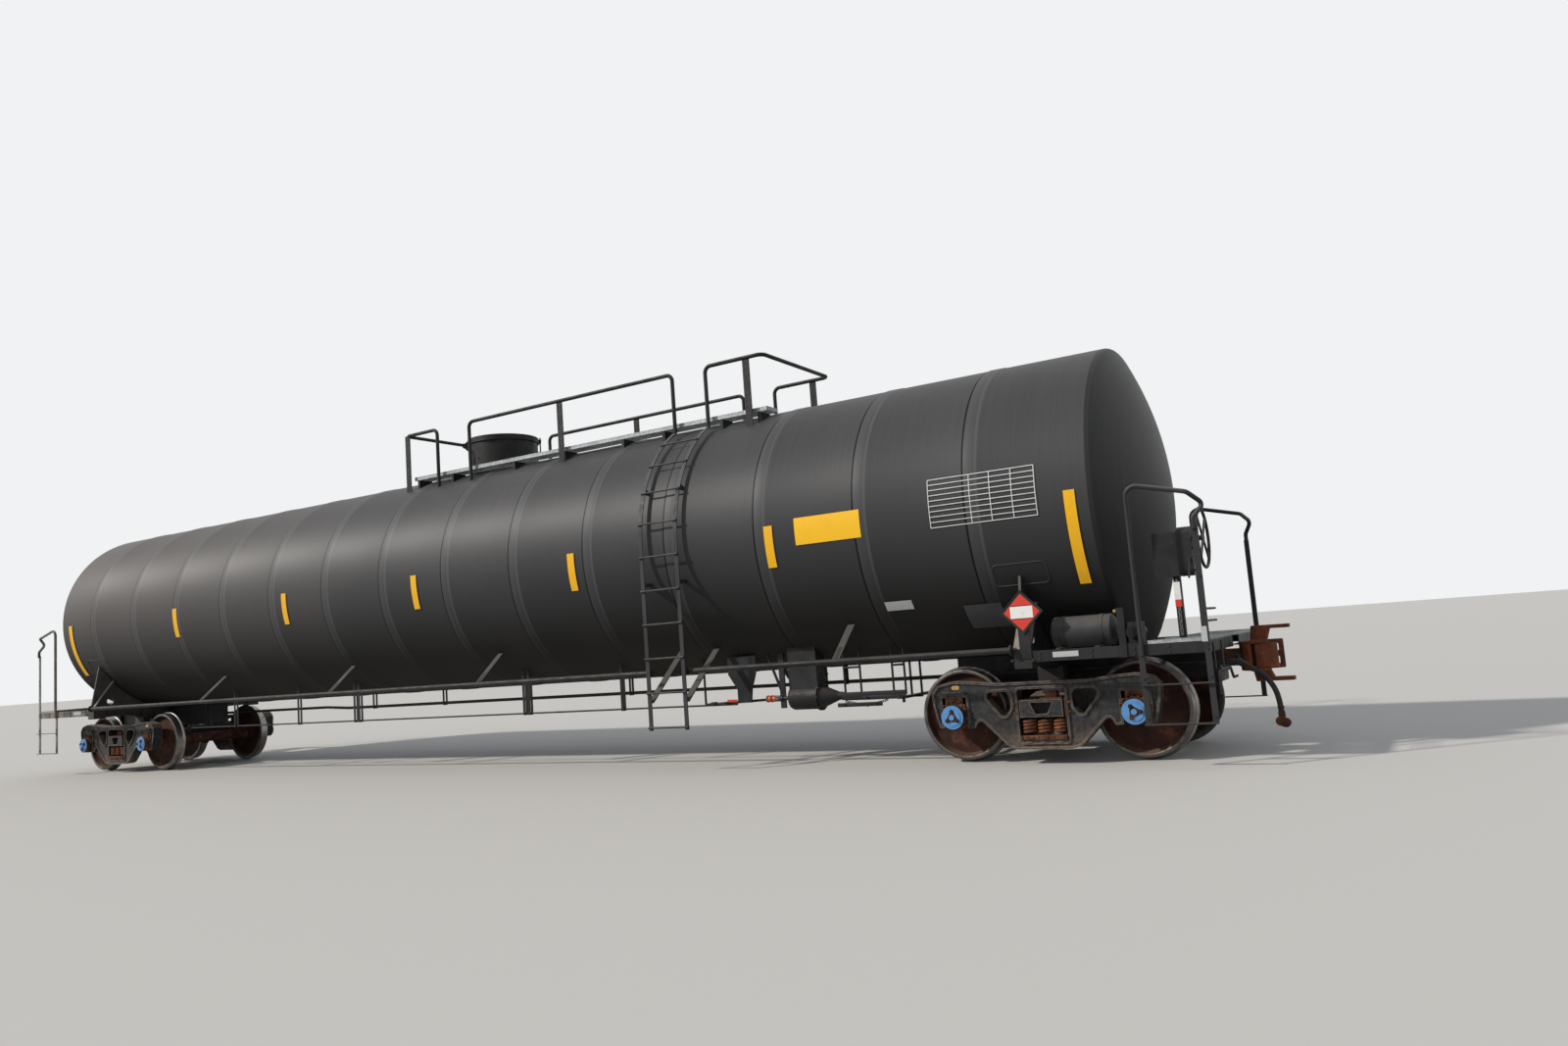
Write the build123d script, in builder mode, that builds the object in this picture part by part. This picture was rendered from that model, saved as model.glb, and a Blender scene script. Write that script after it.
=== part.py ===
from build123d import *
from math import acos, asin, atan2, cos, degrees, pi, radians, sin, sqrt, tan
import os

# Pressure tank car, full size, in millimetres.
# +X runs along the car to the hand brake end (end B), +Y across it, +Z up.
# The origin is under the middle of the car, at the lowest point of the wheel flanges.
# Pieces are drawn at end B on the +y side where they can be, and mirrored or turned to the other places.

os.makedirs("parts", exist_ok=True)

# Clearances
seat_gap = 0.3                          # saddles on the round jacket, and pieces bolted face to face
running_gap = 0.3                       # round a pin, a journal or a bowl

# Wheels and axles; distances across are from the track's centre line
flange_height = 25.4
wheel_radius = 457.0
wheel_back = 678.0                      # back face of a rim
rim_width = 145.0
rim_thickness = 44.0
flange_thickness = 30.0
plate_thickness = 26.0
plate_drop = 24.0                       # from the rim's inner edge in to where the plate starts
hub_radius = 150.0
hub_length = 178.0
tread_fall = 3.0                        # the tread's taper over its width
seat_overrun = 10.0                     # wheel seat beyond the hub's faces
hub_setback = 14.0                      # the hub stands this far inside the rim's back face
wheel_seat_radius = 112.0
axle_radius = 86.0
axle_waist = 300.0                      # half the length that stays parallel in the middle
journal_radius = 80.0
journal_centre = 1010.0                 # middle of a bearing
bearing_radius = 125.0
bearing_length = 160.0
end_cap_radius = 118.0
end_cap_face = 1165.0

rail = flange_height                    # rail top above the origin
axle_height = rail + wheel_radius

# Trucks; heights are above the axle's centre
wheelbase = 1778.0
frame_inner = 935.0                     # inner face of a side frame
frame_thickness = 150.0
frame_web = 130.0                       # thickness inside the lips that run round its outer face
lip_width = 20.0
jaw_half = 127.0                        # half the opening for a bearing
jaw_roof = 191.0
jaw_mouth = -105.0
jaw_corner = 30.0
adapter_half = 90.0
window_half = 236.0                     # bolster opening
window_roof = 243.0
window_foot = -262.0
window_corner = 24.0
frame_foot_depth = 70.0                 # frame below the bolster window
frame_top_depth = 66.0                  # frame above it
spring_seat = -202.0
seat_half = 221.0
spring_radius = 70.0
spring_bar = 13.5
spring_turns = 5
spring_pitch = 152.0
tray_lip = 18.0
bolster_half = 210.0                    # half the bolster's width along the car
bolster_end_top = 139.0
bolster_end_foot = -25.0
bolster_crown = 185.0
bolster_belly = -72.0
bolster_reach = 1105.0                  # end face of the bolster
pocket_depth = 120.0
pocket_wall = 25.0
pocket_top = 110.0                      # half the middle pocket's width at its top
pocket_slope = 66.0
centre_plate = 201.0
centre_plate_radius = 178.0
bowl_rim = 30.0
bowl_lip = 20.0                         # rim above the plate's face
bowl_gap = 6.0                          # round the body's centre plate
side_bearing_y = 635.0
side_bearing_half = 60.0
side_bearing_gap = 6.0                  # between the body's and the truck's side bearings
side_bearing_height = 94.0
beam_offset = 328.0                     # brake beam from the truck's centre
beam_height = -57.0
beam_depth = 56.0
beam_bar = 34.0
beam_clearance = 20.0                   # beam's strut clear of the bolster
shoe_gap = 7.0                          # brake shoe clear of the tread
shoe_thickness = 45.0
shoe_width = 82.0
flange_clearance = 8.0                  # shoe clear of the flange

# Tank: a jacketed barrel with shallow dished heads
tank_half = 8850.0                      # from mid-car to a head's weld
tank_radius = 1538.0
head_crown = 3530.0
head_knuckle = 60.0
truck_inset = 773.0                     # truck centre from the head's weld

# Draft sills; lengths along the car are from the truck's centre or the head's weld
sill_run_in = 1177.0                    # from the truck's centre towards mid-car
sill_run_out = 690.0                    # beyond the head's weld
sill_half = 184.0
sill_wall = 20.0
sill_clearance = 32.0                   # sill over the truck's centre plate
sill_height = 345.0
tank_seat = 34.0                        # the barrel's lowest line below the sill's top
sill_foot = axle_height + centre_plate + sill_clearance
striker_thickness = 45.0
striker_half = 230.0
striker_rise = 27.0
striker_drop = 50.0
filler_length = 420.0
filler_height = 120.0

# Couplers; the head is measured from its pulling face
coupler_rise = 175.0                    # coupler's centre line above the sill's foot
coupler_inset = 50.0                    # tail pin beyond the head's weld
coupler_length = 1103.0                 # tail pin to pulling face
shank_half_width = 62.0
shank_half_height = 74.0
tail_radius = 84.0
yoke_pin_radius = 42.0
strap_thickness = 32.0
strap_width = 130.0
strap_overrun = 80.0
gear_length = 376.0
throat_half = 100.0                     # half the striker's opening in height
head_half_height = 140.0
head_depth = 248.0
head_chamfer = 8.0
guard_reach = 115.0
guard_half = 245.0                      # outer side of the guard arm from the centre line
slot_height = 62.0                      # slots through the guard arm, above and below the centre line
knuckle_half_height = 112.0
knuckle_gap = 5.5
pin_setback = 51.0
pin_offset = -132.0
pin_radius = 20.0
pin_overrun = 15.0
lug_radius = 78.0
lug_rise = 6.0                          # a lug's outer face beyond the head's
shelf_reach = 202.0
shelf_lifts = (280.0, 250.0)            # top shelf above and bottom shelf below the centre line
shelf_thickness = 34.0
shelf_root = 175.0                      # length of a shelf's upright web on the head
shelf_width = 150.0
shelf_start = -150.0
shelf_y = 35.0

# Body bolsters
web_thickness = 25.0
web_rise = 50.0                         # the web's inner foot over the sill's foot
web_foot_outer = sill_foot + 240.0
web_knee = 900.0                        # where the foot plate turns level
side_reach = 1490.0                     # outer face of the side channels and the bolster
edge_height = sill_foot + 405.0             # where the sloping edge plate starts
edge_top = sill_foot + 845.0
edge_inner = 1150.0
web_tip = sill_foot + 1090.0
tip_reach = 22.0                        # the web's tip stands this far out from the jacket
pad_thickness = 24.0
jack_length = 170.0
jack_width = 200.0
jack_drop = 18.0                        # jacking pad under the foot plate
lift_hole_y = 1180.0
lift_hole_height = sill_foot + 500.0
lift_hole_radius = 55.0
bearing_plate_length = 260.0
bearing_plate_foot = sill_foot + 10.0
bearing_plate_height = 185.0

# End frames and crossing boards
channel_height = 100.0
channel_width = 65.0
channel_wall = 10.0
channel_foot = sill_foot + 278.0
cross_inner_inset = 350.0               # cross channels beyond the head's weld
cross_outer_inset = 840.0
board_margin = 15.0
board_thickness = 28.0
board_lip = 5.0

# Corner steps and grab bars
step_inner_inset = 310.0
step_outer_inset = 870.0
step_foot = rail + 362.0
step_middle = rail + 705.0
grab_top = sill_foot + 1370.0
bar_width = 50.0
bar_thickness = 12.0
corner_tube_radius = 21.0
corner_tube_inset = 320.0
corner_rail_height = sill_foot + 1800.0

# Ladders and side pipes
ladder_x = 4025.0
ladder_half = 245.0
ladder_gap = 76.0                       # outer face of the stiles from the jacket
stile_thickness = 12.0
stile_width = 50.0
ladder_foot = rail + 455.0
first_rung = rail + 487.0
rung_pitch = 380.0
rung_radius = 11.0
tab_thickness = 8.0
tab_half = 15.0
brace_angle = -53.0
brace_seat = sill_foot + 60.0
brace_depth = 14.0
bracket_angle = 23.0
bracket_height = sill_foot + 1390.0
bracket_depth = 40.0
pipe_radius = 30.0
pipe_offset = 40.0                      # pipe's centre outside the side channels' face
pipe_height = sill_foot + 398.0
pipe_flange_radius = 52.0
pipe_flange_thickness = 14.0
pipe_lug_height = 60.0
pipe_brace_places = (-4930.0, -1880.0, 1000.0, 6110.0)
pipe_brace_angle = -45.0

# Top works; heights are above the top line of the barrel
walk_drop = 22.0
walk_depth = 48.0
walk_plate = 8.0
walk_margin = 55.0                      # walkway's outer edge inside the handrails
walk_gap = 20.0                         # walkway's inner edge outside the housing
walk_left = -880.0
leg_width = 40.0
leg_thickness = 10.0
rail_y = 800.0
rail_rise = 605.0                       # handrail over the walkway
rail_tube = 24.0
rail_bend = 80.0
post_width = 92.0
post_thickness = 12.0
left_frame = (-960.0, -330.0)
middle_frame_start = 300.0
middle_post = 1955.0
right_reach = 1055.0                    # right frame's end beyond the ladder
right_post = 825.0
housing_x = 140.0
housing_radius = 485.0
housing_wall = 12.0
housing_rise = 438.0
lid_overhang = 14.0
lid_depth = 60.0
lid_dome = 34.0
lid_plate = 12.0
hinge_angle = 225.0                     # the hinge's place round the housing, from +X
hinge_offset = 63.0                     # hinge pin outside the housing's wall
hinge_rise = 4.0
hinge_radius = 16.0
lug_width = 60.0
lug_thickness = 20.0
lug_gap = 6.0
cover_rise = 53.0
cover_radius = 430.0
cover_thickness = 42.0
neck_radius = 300.0
valve_ring = 265.0
angle_valve_radius = 52.0
angle_valve_height = 190.0
gauge_radius = 34.0
gauge_height = 240.0
valve_stem_radius = 18.0
valve_stem_height = 46.0
hand_wheel_radius = 72.0
hand_wheel_thickness = 14.0
relief_flange_radius = 105.0
relief_flange_thickness = 60.0
relief_radius = 80.0
relief_height = 230.0

# Brake gear under the tank; lengths are from the truck's centre at end B towards mid-car
cylinder_y = -750.0
cylinder_height = sill_foot + 10.0
cylinder_inset = 2947.0
cylinder_length = 350.0
cone_length = 240.0
cylinder_radius = 134.0
push_rod_length = 245.0
push_rod_radius = 22.0
collar_radius = 34.0
collar_length = 120.0
rigging_height = sill_foot - 35.0
rod_radius = 11.0
lever_inset = 1590.0
lever_half = 45.0
lever_thickness = 24.0
inner_rod_y = 60.0
inner_rod_inset = 927.0
fulcrum_inset = 3577.0
fulcrum_half = 80.0
fulcrum_spread = 85.0
fulcrum_thickness = 16.0
guide_half = 65.0
guide_wall = 10.0
guide_y = -400.0
guide_width = 40.0
hanger_half = 28.0
hanger_wall = 8.0
hanger_width = 36.0
hanger_places = (-5200.0, -3600.0, -2300.0, -2200.0, 1060.0, 1150.0, 2700.0)
hanger_height = 700.0                   # hangers are cut off by the jacket

# Train line and its hoses
train_radius = 21.0
train_y = 330.0
train_height = sill_foot + 140.0
train_bend = 300.0
train_cross = 3000.0                    # the line crosses over from here towards end A
train_cross_length = 1400.0
train_hole_gap = 12.0
train_hangers = (-2400.0, -900.0, 700.0, 2500.0, 5600.0)
cock_inset = 940.0
cock_y = 430.0
cock_radius = 33.0
cock_reach = 80.0                       # from the cock's middle to its mouth
hose_radius = 25.0
hose_drop = 30.0                        # the cock's mouth points this far below level
hose_runs = ((120, -hose_drop), (140, -50), (140, -70), (130, -88))     # length, angle above level

# Reservoir, control valve, hand brake, levers and placards
reservoir_length = 615.0
reservoir_overrun = 55.0                # its end beyond the head's weld
reservoir_radius = 144.0
reservoir_inset = 290.0                 # its axis in from the side channel's face
reservoir_bulge = 40.0
cradle_inset = 128.0
cradle_width = 40.0
cradle_thickness = 5.0
valve_inset = 225.0
valve_body_inset = 280.0
valve_bracket_inset = 160.0
brake_wheel_inset = 862.0
brake_wheel_y = 410.0                   # in from the side channel's face
brake_wheel_height = sill_foot + 1285.0
brake_wheel_radius = 268.0
brake_rim_radius = 14.0
spoke_width = 26.0
gear_case_inset = 650.0
gear_case_depth = 125.0
gear_case_width = 230.0
gear_case_height = 440.0
gear_case_middle = sill_foot + 1175.0
brake_post_inset = 590.0
lever_x_inset = 915.0
release_height = sill_foot + 110.0
release_radius = 12.0
release_drop = 100.0
handle_inset = 160.0
placard_half = 207.0
placard_offset = 38.0
placard_height = sill_foot + 744.0
placard_thickness = 12.0
placard_border = 16.0
bracket_thickness = 10.0
bracket_width = 110.0
bracket_foot = sill_foot + 310.0

# Places worked out from the sizes above
truck_x = tank_half - truck_inset
sill_start = truck_x - sill_run_in
sill_end = tank_half + sill_run_out
sill_top = sill_foot + sill_height
tank_axis = sill_top - tank_seat + tank_radius
tank_top = tank_axis + tank_radius
coupler_height = sill_foot + coupler_rise
coupler_pivot = tank_half + coupler_inset
pulling_face = coupler_pivot + coupler_length
strap_inner = shank_half_height + seat_gap
gear_end = coupler_pivot - tail_radius - seat_gap
pin_x = pulling_face - pin_setback
cross_inner = tank_half + cross_inner_inset
cross_outer = tank_half + cross_outer_inset
channel_top = channel_foot + channel_height
board_top = channel_top + board_thickness
step_inner = tank_half + step_inner_inset
step_outer = tank_half + step_outer_inset
ladder_radius = tank_radius + ladder_gap
ladder_top_angle = degrees(acos(rail_y / (ladder_radius - stile_thickness / 2)))
stile_tip = tank_axis + ladder_radius * sin(radians(ladder_top_angle))
pipe_y = side_reach + pipe_offset
pipe_end = truck_x - jack_length / 2
walk_top = tank_top - walk_drop
walk_outer = rail_y - walk_margin
walk_inner = housing_radius + walk_gap
rail_height = walk_top + rail_rise
middle_frame_end = ladder_x - ladder_half
right_frame_start = ladder_x + ladder_half
right_frame_end = ladder_x + right_reach
walk_right = right_frame_end - board_margin
housing_top = tank_top + housing_rise
lid_foot = housing_top - lid_depth
hinge_reach = housing_radius + hinge_offset
hinge_height = lid_foot + hinge_rise
cylinder_start = truck_x - cylinder_inset
cylinder_end = cylinder_start + cylinder_length
cone_end = cylinder_end + cone_length
push_rod_end = cylinder_start - push_rod_length
fulcrum_x = truck_x - fulcrum_inset
cock_x = tank_half + cock_inset
tank_line = Axis((0, 0, tank_axis), (1, 0, 0))
ends = (("a", -1), ("b", 1))


def write(piece, name):
    """Labels a finished piece and writes it under its node's name."""
    piece.part.label = name
    export_step(piece.part, f"parts/{name}.step")


def at_end(piece, end):
    """A piece of end B, or its mirror image at end A."""
    return piece if end > 0 else piece.mirror(Plane.YZ)


def turned_to(piece, end):
    """A piece of end B, or the same piece turned half round to end A."""
    return piece if end > 0 else piece.rotate(Axis.Z, 180)


def tank_roof(y):
    """Height of the jacket's top at a distance y from the centre line."""
    return tank_axis + sqrt(tank_radius**2 - y**2)


def tank_side(height):
    """Distance of the jacket from the centre line at a height."""
    return sqrt(tank_radius**2 - (tank_axis - height) ** 2)


def around_tank(radius, angle):
    """Point across the car at a radius from the tank's axis, angle up from level."""
    return (radius * cos(radians(angle)), tank_axis + radius * sin(radians(angle)))


def tank_solid(radius):
    """The jacketed barrel with its two shallow dished heads, as one turned solid."""
    crown_centre = tank_half - sqrt((head_crown - head_knuckle) ** 2 - (radius - head_knuckle) ** 2)
    join_angle = degrees(atan2(radius - head_knuckle, tank_half - crown_centre))
    with BuildPart() as half:
        with BuildSketch(Plane((0, 0, tank_axis), x_dir=(1, 0, 0), z_dir=(0, -1, 0))):
            with BuildLine():
                crown = CenterArc((crown_centre, 0), head_crown, 0, join_angle)
                knuckle = CenterArc((tank_half, radius - head_knuckle), head_knuckle,
                                    join_angle, 90 - join_angle)
                barrel = Line(knuckle @ 1, (0, radius))
                Line(barrel @ 1, (0, 0))
                Line((0, 0), crown @ 0)
            make_face()
        revolve(axis=tank_line)
        mirror(about=Plane.YZ)
    return half.part


def swept_tube(route, bends, radius):
    """A round tube along a route with a bend at each corner."""
    with BuildPart() as tube:
        with BuildLine():
            line = FilletPolyline(*route, radius=list(bends))
        with BuildSketch(Plane(line @ 0, z_dir=line % 0)):
            Circle(radius)
        sweep(path=line)
    return tube.part


def saddled(*pieces):
    """Pieces joined and cut to sit on the round jacket."""
    with BuildPart() as seated:
        add(pieces)
        add(saddle, mode=Mode.SUBTRACT)
    return seated.part


# Tank
barrel = tank_solid(tank_radius)
with BuildPart() as tank_shell:
    add(barrel)
write(tank_shell, "tank_shell")
saddle = tank_solid(tank_radius + seat_gap)


# Draft sills: an open-bottomed box under each end of the tank, closed by the striker
def draft_sill():
    """The sill at end B with its striker, draft gear, yoke and body centre plate."""
    middle = (sill_foot + sill_top) / 2
    striker_foot = sill_foot - striker_drop
    striker_top = sill_top + striker_rise
    inner_half = sill_half - sill_wall
    with BuildPart() as sill:
        with BuildSketch(Plane.YZ.offset(sill_start)):
            with Locations((0, middle)):
                Rectangle(2 * sill_half, sill_height)
            with Locations((0, middle - sill_wall)):
                Rectangle(2 * inner_half, sill_height, mode=Mode.SUBTRACT)
        extrude(amount=sill_end - sill_start)
        with BuildSketch(Plane.YZ.offset(sill_end)):
            with Locations((0, (striker_foot + striker_top) / 2)):
                RectangleRounded(2 * striker_half, striker_top - striker_foot, 30)
            with Locations((0, coupler_height)):
                Rectangle(2 * inner_half, 2 * throat_half, mode=Mode.SUBTRACT)
        extrude(amount=striker_thickness)
        # Draft gear across the sill, the yoke's straps over the coupler's tail, their pin, and the carrier
        with Locations((gear_end - gear_length / 2, 0, coupler_height)):
            Box(gear_length, 2 * inner_half, 2 * (strap_inner + strap_thickness))
        for strap in (-1, 1):
            with Locations((gear_end, 0, coupler_height + strap * (strap_inner + strap_thickness / 2))):
                Box(coupler_pivot + strap_overrun - gear_end, strap_width, strap_thickness,
                    align=(Align.MIN, Align.CENTER, Align.CENTER))
        with Locations((coupler_pivot, 0, coupler_height)):
            Cylinder(yoke_pin_radius, 2 * (strap_inner + strap_thickness + 12))
        with Locations((sill_end + striker_thickness / 2, 0, coupler_height - strap_inner)):
            Box(striker_thickness, 2 * inner_half, throat_half - strap_inner,
                align=(Align.CENTER, Align.CENTER, Align.MAX))
        # Centre filler and the body centre plate over the truck
        with Locations((truck_x, 0, sill_foot + filler_height / 2)):
            Box(filler_length, 2 * sill_half - 1, filler_height)
        with Locations((truck_x, 0, axle_height + centre_plate)):
            Cylinder(centre_plate_radius, sill_clearance + 1, align=(Align.CENTER, Align.CENTER, Align.MIN))
        # Closing plate at the inner end
        with Locations((sill_start + sill_wall / 2, 0, sill_foot)):
            Box(sill_wall, 2 * sill_half, sill_height, align=(Align.CENTER, Align.CENTER, Align.MIN))
        add(saddle, mode=Mode.SUBTRACT)
    return sill.part


sill = draft_sill()
with BuildPart() as stub_sills:
    add(sill)
    mirror(about=Plane.YZ)
write(stub_sills, "stub_sills")


# Body bolsters: a web across the car over each truck, with a foot plate, sloping edge plates and jacking pads
def bolster_web():
    """Half of the web at end B, on the +y side."""
    web_foot_inner = sill_foot + web_rise
    tip_y = tank_side(web_tip) + tip_reach
    foot = [(sill_half, web_foot_inner), (web_knee, web_foot_outer), (side_reach, web_foot_outer)]
    web = foot + [(side_reach, edge_height), (tip_y, web_tip),
                  (tip_y - 360, web_tip), (sill_half, sill_top)]
    edge = [(side_reach, edge_height), (edge_inner, edge_top), (edge_inner, edge_top - pad_thickness),
            (side_reach - pad_thickness, edge_height - pad_thickness)]
    raised = [(side_reach - pad_thickness, web_foot_outer + pad_thickness),
              (web_knee, web_foot_outer + pad_thickness), (sill_half, web_foot_inner + pad_thickness)]
    with BuildPart() as half:
        with BuildSketch(Plane.YZ.offset(truck_x)):
            Polygon(*web, align=None)
        extrude(amount=web_thickness / 2, both=True)
        with BuildSketch(Plane.YZ.offset(truck_x)):
            Polygon(*foot, *edge, *raised, align=None)
        extrude(amount=jack_length / 2, both=True)
        # Jacking pad under the foot plate, the block that carries the side channel, and the side bearing plate
        with Locations((truck_x, side_reach, web_foot_outer - jack_drop)):
            Box(jack_length, jack_width, channel_top - web_foot_outer + jack_drop,
                align=(Align.CENTER, Align.MAX, Align.MIN))
        with Locations((truck_x, side_bearing_y, bearing_plate_foot)):
            Box(bearing_plate_length, 2 * side_bearing_half, bearing_plate_height,
                align=(Align.CENTER, Align.CENTER, Align.MIN))
        with BuildSketch(Plane.YZ.offset(truck_x)):
            with Locations((lift_hole_y, lift_hole_height)):
                Circle(lift_hole_radius)
            with Locations((train_y, train_height)):
                Circle(train_radius + train_hole_gap)
        extrude(amount=bearing_plate_length, both=True, mode=Mode.SUBTRACT)
        add(saddle, mode=Mode.SUBTRACT)
    return half.part


half_bolster = bolster_web()
with BuildPart() as body_bolsters:
    add(half_bolster)
    mirror(about=Plane.XZ)
    mirror(about=Plane.YZ)
write(body_bolsters, "body_bolsters")


# End frames: side channels from the jacking pads to the corners, tied to the draft sill by cross channels
def channel(plane, length):
    """A channel lying on its side, open towards the plane's -x, extruded along the plane's normal."""
    with BuildPart() as bar:
        with BuildSketch(plane):
            Rectangle(channel_width, channel_height, align=(Align.MAX, Align.MIN))
            with Locations((-channel_wall, channel_wall)):
                Rectangle(channel_width, channel_height - 2 * channel_wall,
                          align=(Align.MAX, Align.MIN), mode=Mode.SUBTRACT)
        extrude(amount=length)
    return bar.part


side_start = truck_x + jack_length / 2
side_channel = channel(Plane((side_start, side_reach, channel_foot), x_dir=(0, 1, 0), z_dir=(1, 0, 0)),
                       step_outer - side_start)
cross_length = side_reach - sill_half - channel_wall / 2
cross_channels = [channel(Plane((place + channel_width / 2, sill_half + cross_length, channel_foot),
                                x_dir=(1, 0, 0), z_dir=(0, -1, 0)), cross_length)
                  for place in (cross_inner, cross_outer)]
with BuildPart() as end_frames:
    add(side_channel)
    add(cross_channels)
    mirror(about=Plane.XZ)
    mirror(about=Plane.YZ)
write(end_frames, "end_frames")

# Crossing boards: galvanised grating in a shallow frame, laid over the end channels
board_start = cross_inner + board_margin
board_length = cross_outer - board_lip - board_start
with BuildPart() as crossing_boards:
    with Locations((board_start, 0, channel_top)):
        Box(board_length, 2 * side_reach, board_thickness, align=(Align.MIN, Align.CENTER, Align.MIN))
    mirror(about=Plane.YZ)
write(crossing_boards, "crossing_boards")


# Corner steps: sill step, flat grab bar and bent tube in one welded piece at each corner
def corner_step():
    """The corner at end B on the +y side."""
    tube_x = tank_half + corner_tube_inset
    tube_y = side_reach + corner_tube_radius
    route = ((tube_x, tube_y, channel_foot), (tube_x, tube_y, corner_rail_height),
             (step_outer - 30, tube_y, corner_rail_height - 130),
             (step_outer + 80, tube_y - 130, grab_top + 190),
             (step_outer, tube_y, grab_top + 70), (step_outer, tube_y, grab_top - 30))
    tube = swept_tube(route, (90, 60, 40, 40), corner_tube_radius)
    with BuildPart() as corner:
        add(tube)
        for leg, top in ((step_inner, channel_top), (step_outer, grab_top)):
            with Locations((leg, side_reach, step_foot)):
                Box(bar_width, bar_thickness, top - step_foot, align=(Align.CENTER, Align.MIN, Align.MIN))
        for height in (step_foot, step_middle):
            with Locations(((step_inner + step_outer) / 2, side_reach, height)):
                Box(step_outer - step_inner + bar_width, bar_width, bar_thickness,
                    align=(Align.CENTER, Align.MIN, Align.MIN))
    return corner.part


corner = corner_step()
with BuildPart() as corner_steps:
    add(corner)
    mirror(about=Plane.XZ)
    mirror(about=Plane.YZ)
write(corner_steps, "corner_steps")


# Ladders: flat stiles that stand beside the tank and then follow it up to the walkway
def stile(place):
    """One stile of the +y ladder with its brackets, drawn across the car."""
    inner = ladder_radius - stile_thickness
    low = around_tank(tank_radius, brace_angle)
    near = around_tank(tank_radius - 30, bracket_angle)
    far = around_tank(inner, bracket_angle)
    with BuildPart() as strip:
        with BuildSketch(Plane.YZ.offset(place)):
            with BuildLine():
                bend = CenterArc((0, tank_axis), ladder_radius, 0, ladder_top_angle)
                back = CenterArc((0, tank_axis), inner, 0, ladder_top_angle)
                Line(bend @ 1, back @ 1)
                Polyline(bend @ 0, (ladder_radius, ladder_foot), (inner, ladder_foot), back @ 0)
            make_face()
        extrude(amount=stile_width / 2, both=True)
        # A brace from the lower stile in under the tank, and two brackets to the jacket
        with BuildSketch(Plane.YZ.offset(place)):
            Polygon((inner, brace_seat), (inner + 1, brace_seat + brace_depth),
                    (low[0] - 30, low[1] + 40), (low[0] - 44, low[1] + 28), align=None)
            with Locations((inner, bracket_height)):
                Rectangle(inner - tank_side(bracket_height) + 30, bracket_depth,
                          align=(Align.MAX, Align.CENTER))
            Polygon((near[0], near[1] - bracket_depth / 2), (far[0], far[1] - bracket_depth / 2),
                    (far[0], far[1] + bracket_depth / 2), (near[0], near[1] + bracket_depth / 2), align=None)
        extrude(amount=stile_width / 2 - 5, both=True)
        add(saddle, mode=Mode.SUBTRACT)
    return strip.part


stiles = [stile(ladder_x + side * ladder_half) for side in (-1, 1)]
with BuildPart() as ladder_stiles:
    add(stiles)
    mirror(about=Plane.XZ)
write(ladder_stiles, "ladder_stiles")

# Rungs: round bars over the stiles' outer faces, with flattened ends that are bolted down
straight_rungs = int((tank_axis - first_rung) / rung_pitch) + 1
rung_angle = degrees(rung_pitch / (ladder_radius + rung_radius))
last_straight = first_rung + (straight_rungs - 1) * rung_pitch
last_angle = degrees(asin((last_straight - tank_axis) / (ladder_radius + rung_radius)))
curved_rungs = int((ladder_top_angle - last_angle) / rung_angle)


def rung_plane(step):
    """Plane across the car at a rung: x points out through it, y up along the stile."""
    start = ladder_x - ladder_half - stile_width / 2
    if step < straight_rungs:
        return Plane((start, ladder_radius, first_rung + step * rung_pitch), x_dir=(0, 1, 0), z_dir=(1, 0, 0))
    angle = last_angle + (step - straight_rungs + 1) * rung_angle
    y, z = around_tank(ladder_radius, angle)
    return Plane((start, y, z), x_dir=(0, cos(radians(angle)), sin(radians(angle))), z_dir=(1, 0, 0))


with BuildPart() as ladder_rungs:
    for step in range(straight_rungs + curved_rungs):
        with BuildSketch(rung_plane(step)):
            with Locations((rung_radius, 0)):
                Circle(rung_radius)
        extrude(amount=2 * ladder_half + stile_width)
        for along in (0, 2 * ladder_half):
            with BuildSketch(rung_plane(step).offset(along)):
                Rectangle(tab_thickness, 2 * tab_half, align=(Align.MIN, Align.CENTER))
            extrude(amount=stile_width)
    mirror(about=Plane.XZ)
write(ladder_rungs, "ladder_rungs")


# Side pipes: a protective tube along each side, broken at the ladder, with flat braces up to the jacket
def side_pipe(start, stop, flange_at, lug_at):
    """One length of the +y pipe with the flange at its outer end and the lug that bolts it to a stile."""
    towards = 1 if stop > start and flange_at == start else -1
    with BuildPart() as pipe:
        with BuildSketch(Plane.YZ.offset(start)):
            with Locations((pipe_y, pipe_height)):
                Circle(pipe_radius)
        extrude(amount=stop - start)
        with BuildSketch(Plane.YZ.offset(flange_at)):
            with Locations((pipe_y, pipe_height)):
                Circle(pipe_flange_radius)
        extrude(amount=pipe_flange_thickness * towards)
        with Locations((lug_at, pipe_y, pipe_height)):
            Box(stile_width - 4, ladder_radius - stile_thickness - pipe_y, pipe_lug_height,
                align=(Align.CENTER, Align.MIN, Align.CENTER))
    return pipe.part


def pipe_brace(place):
    """A flat brace from the +y pipe up to the jacket."""
    seat = around_tank(tank_radius - 30, pipe_brace_angle)
    with BuildPart() as brace:
        with BuildSketch(Plane.YZ.offset(place)):
            Polygon((pipe_y - 4, pipe_height - 12), (pipe_y + 6, pipe_height), seat,
                    (seat[0] - 10, seat[1] - 12), align=None)
        extrude(amount=stile_width / 2, both=True)
    return brace.part


long_pipe = side_pipe(-pipe_end, middle_frame_end, -pipe_end, middle_frame_end)
short_pipe = side_pipe(right_frame_start, pipe_end, pipe_end, right_frame_start)
near_pipes = saddled(long_pipe, short_pipe, *[pipe_brace(place) for place in pipe_brace_places])
with BuildPart() as side_pipes:
    add(near_pipes)
    mirror(about=Plane.XZ)
write(side_pipes, "side_pipes")

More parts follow.
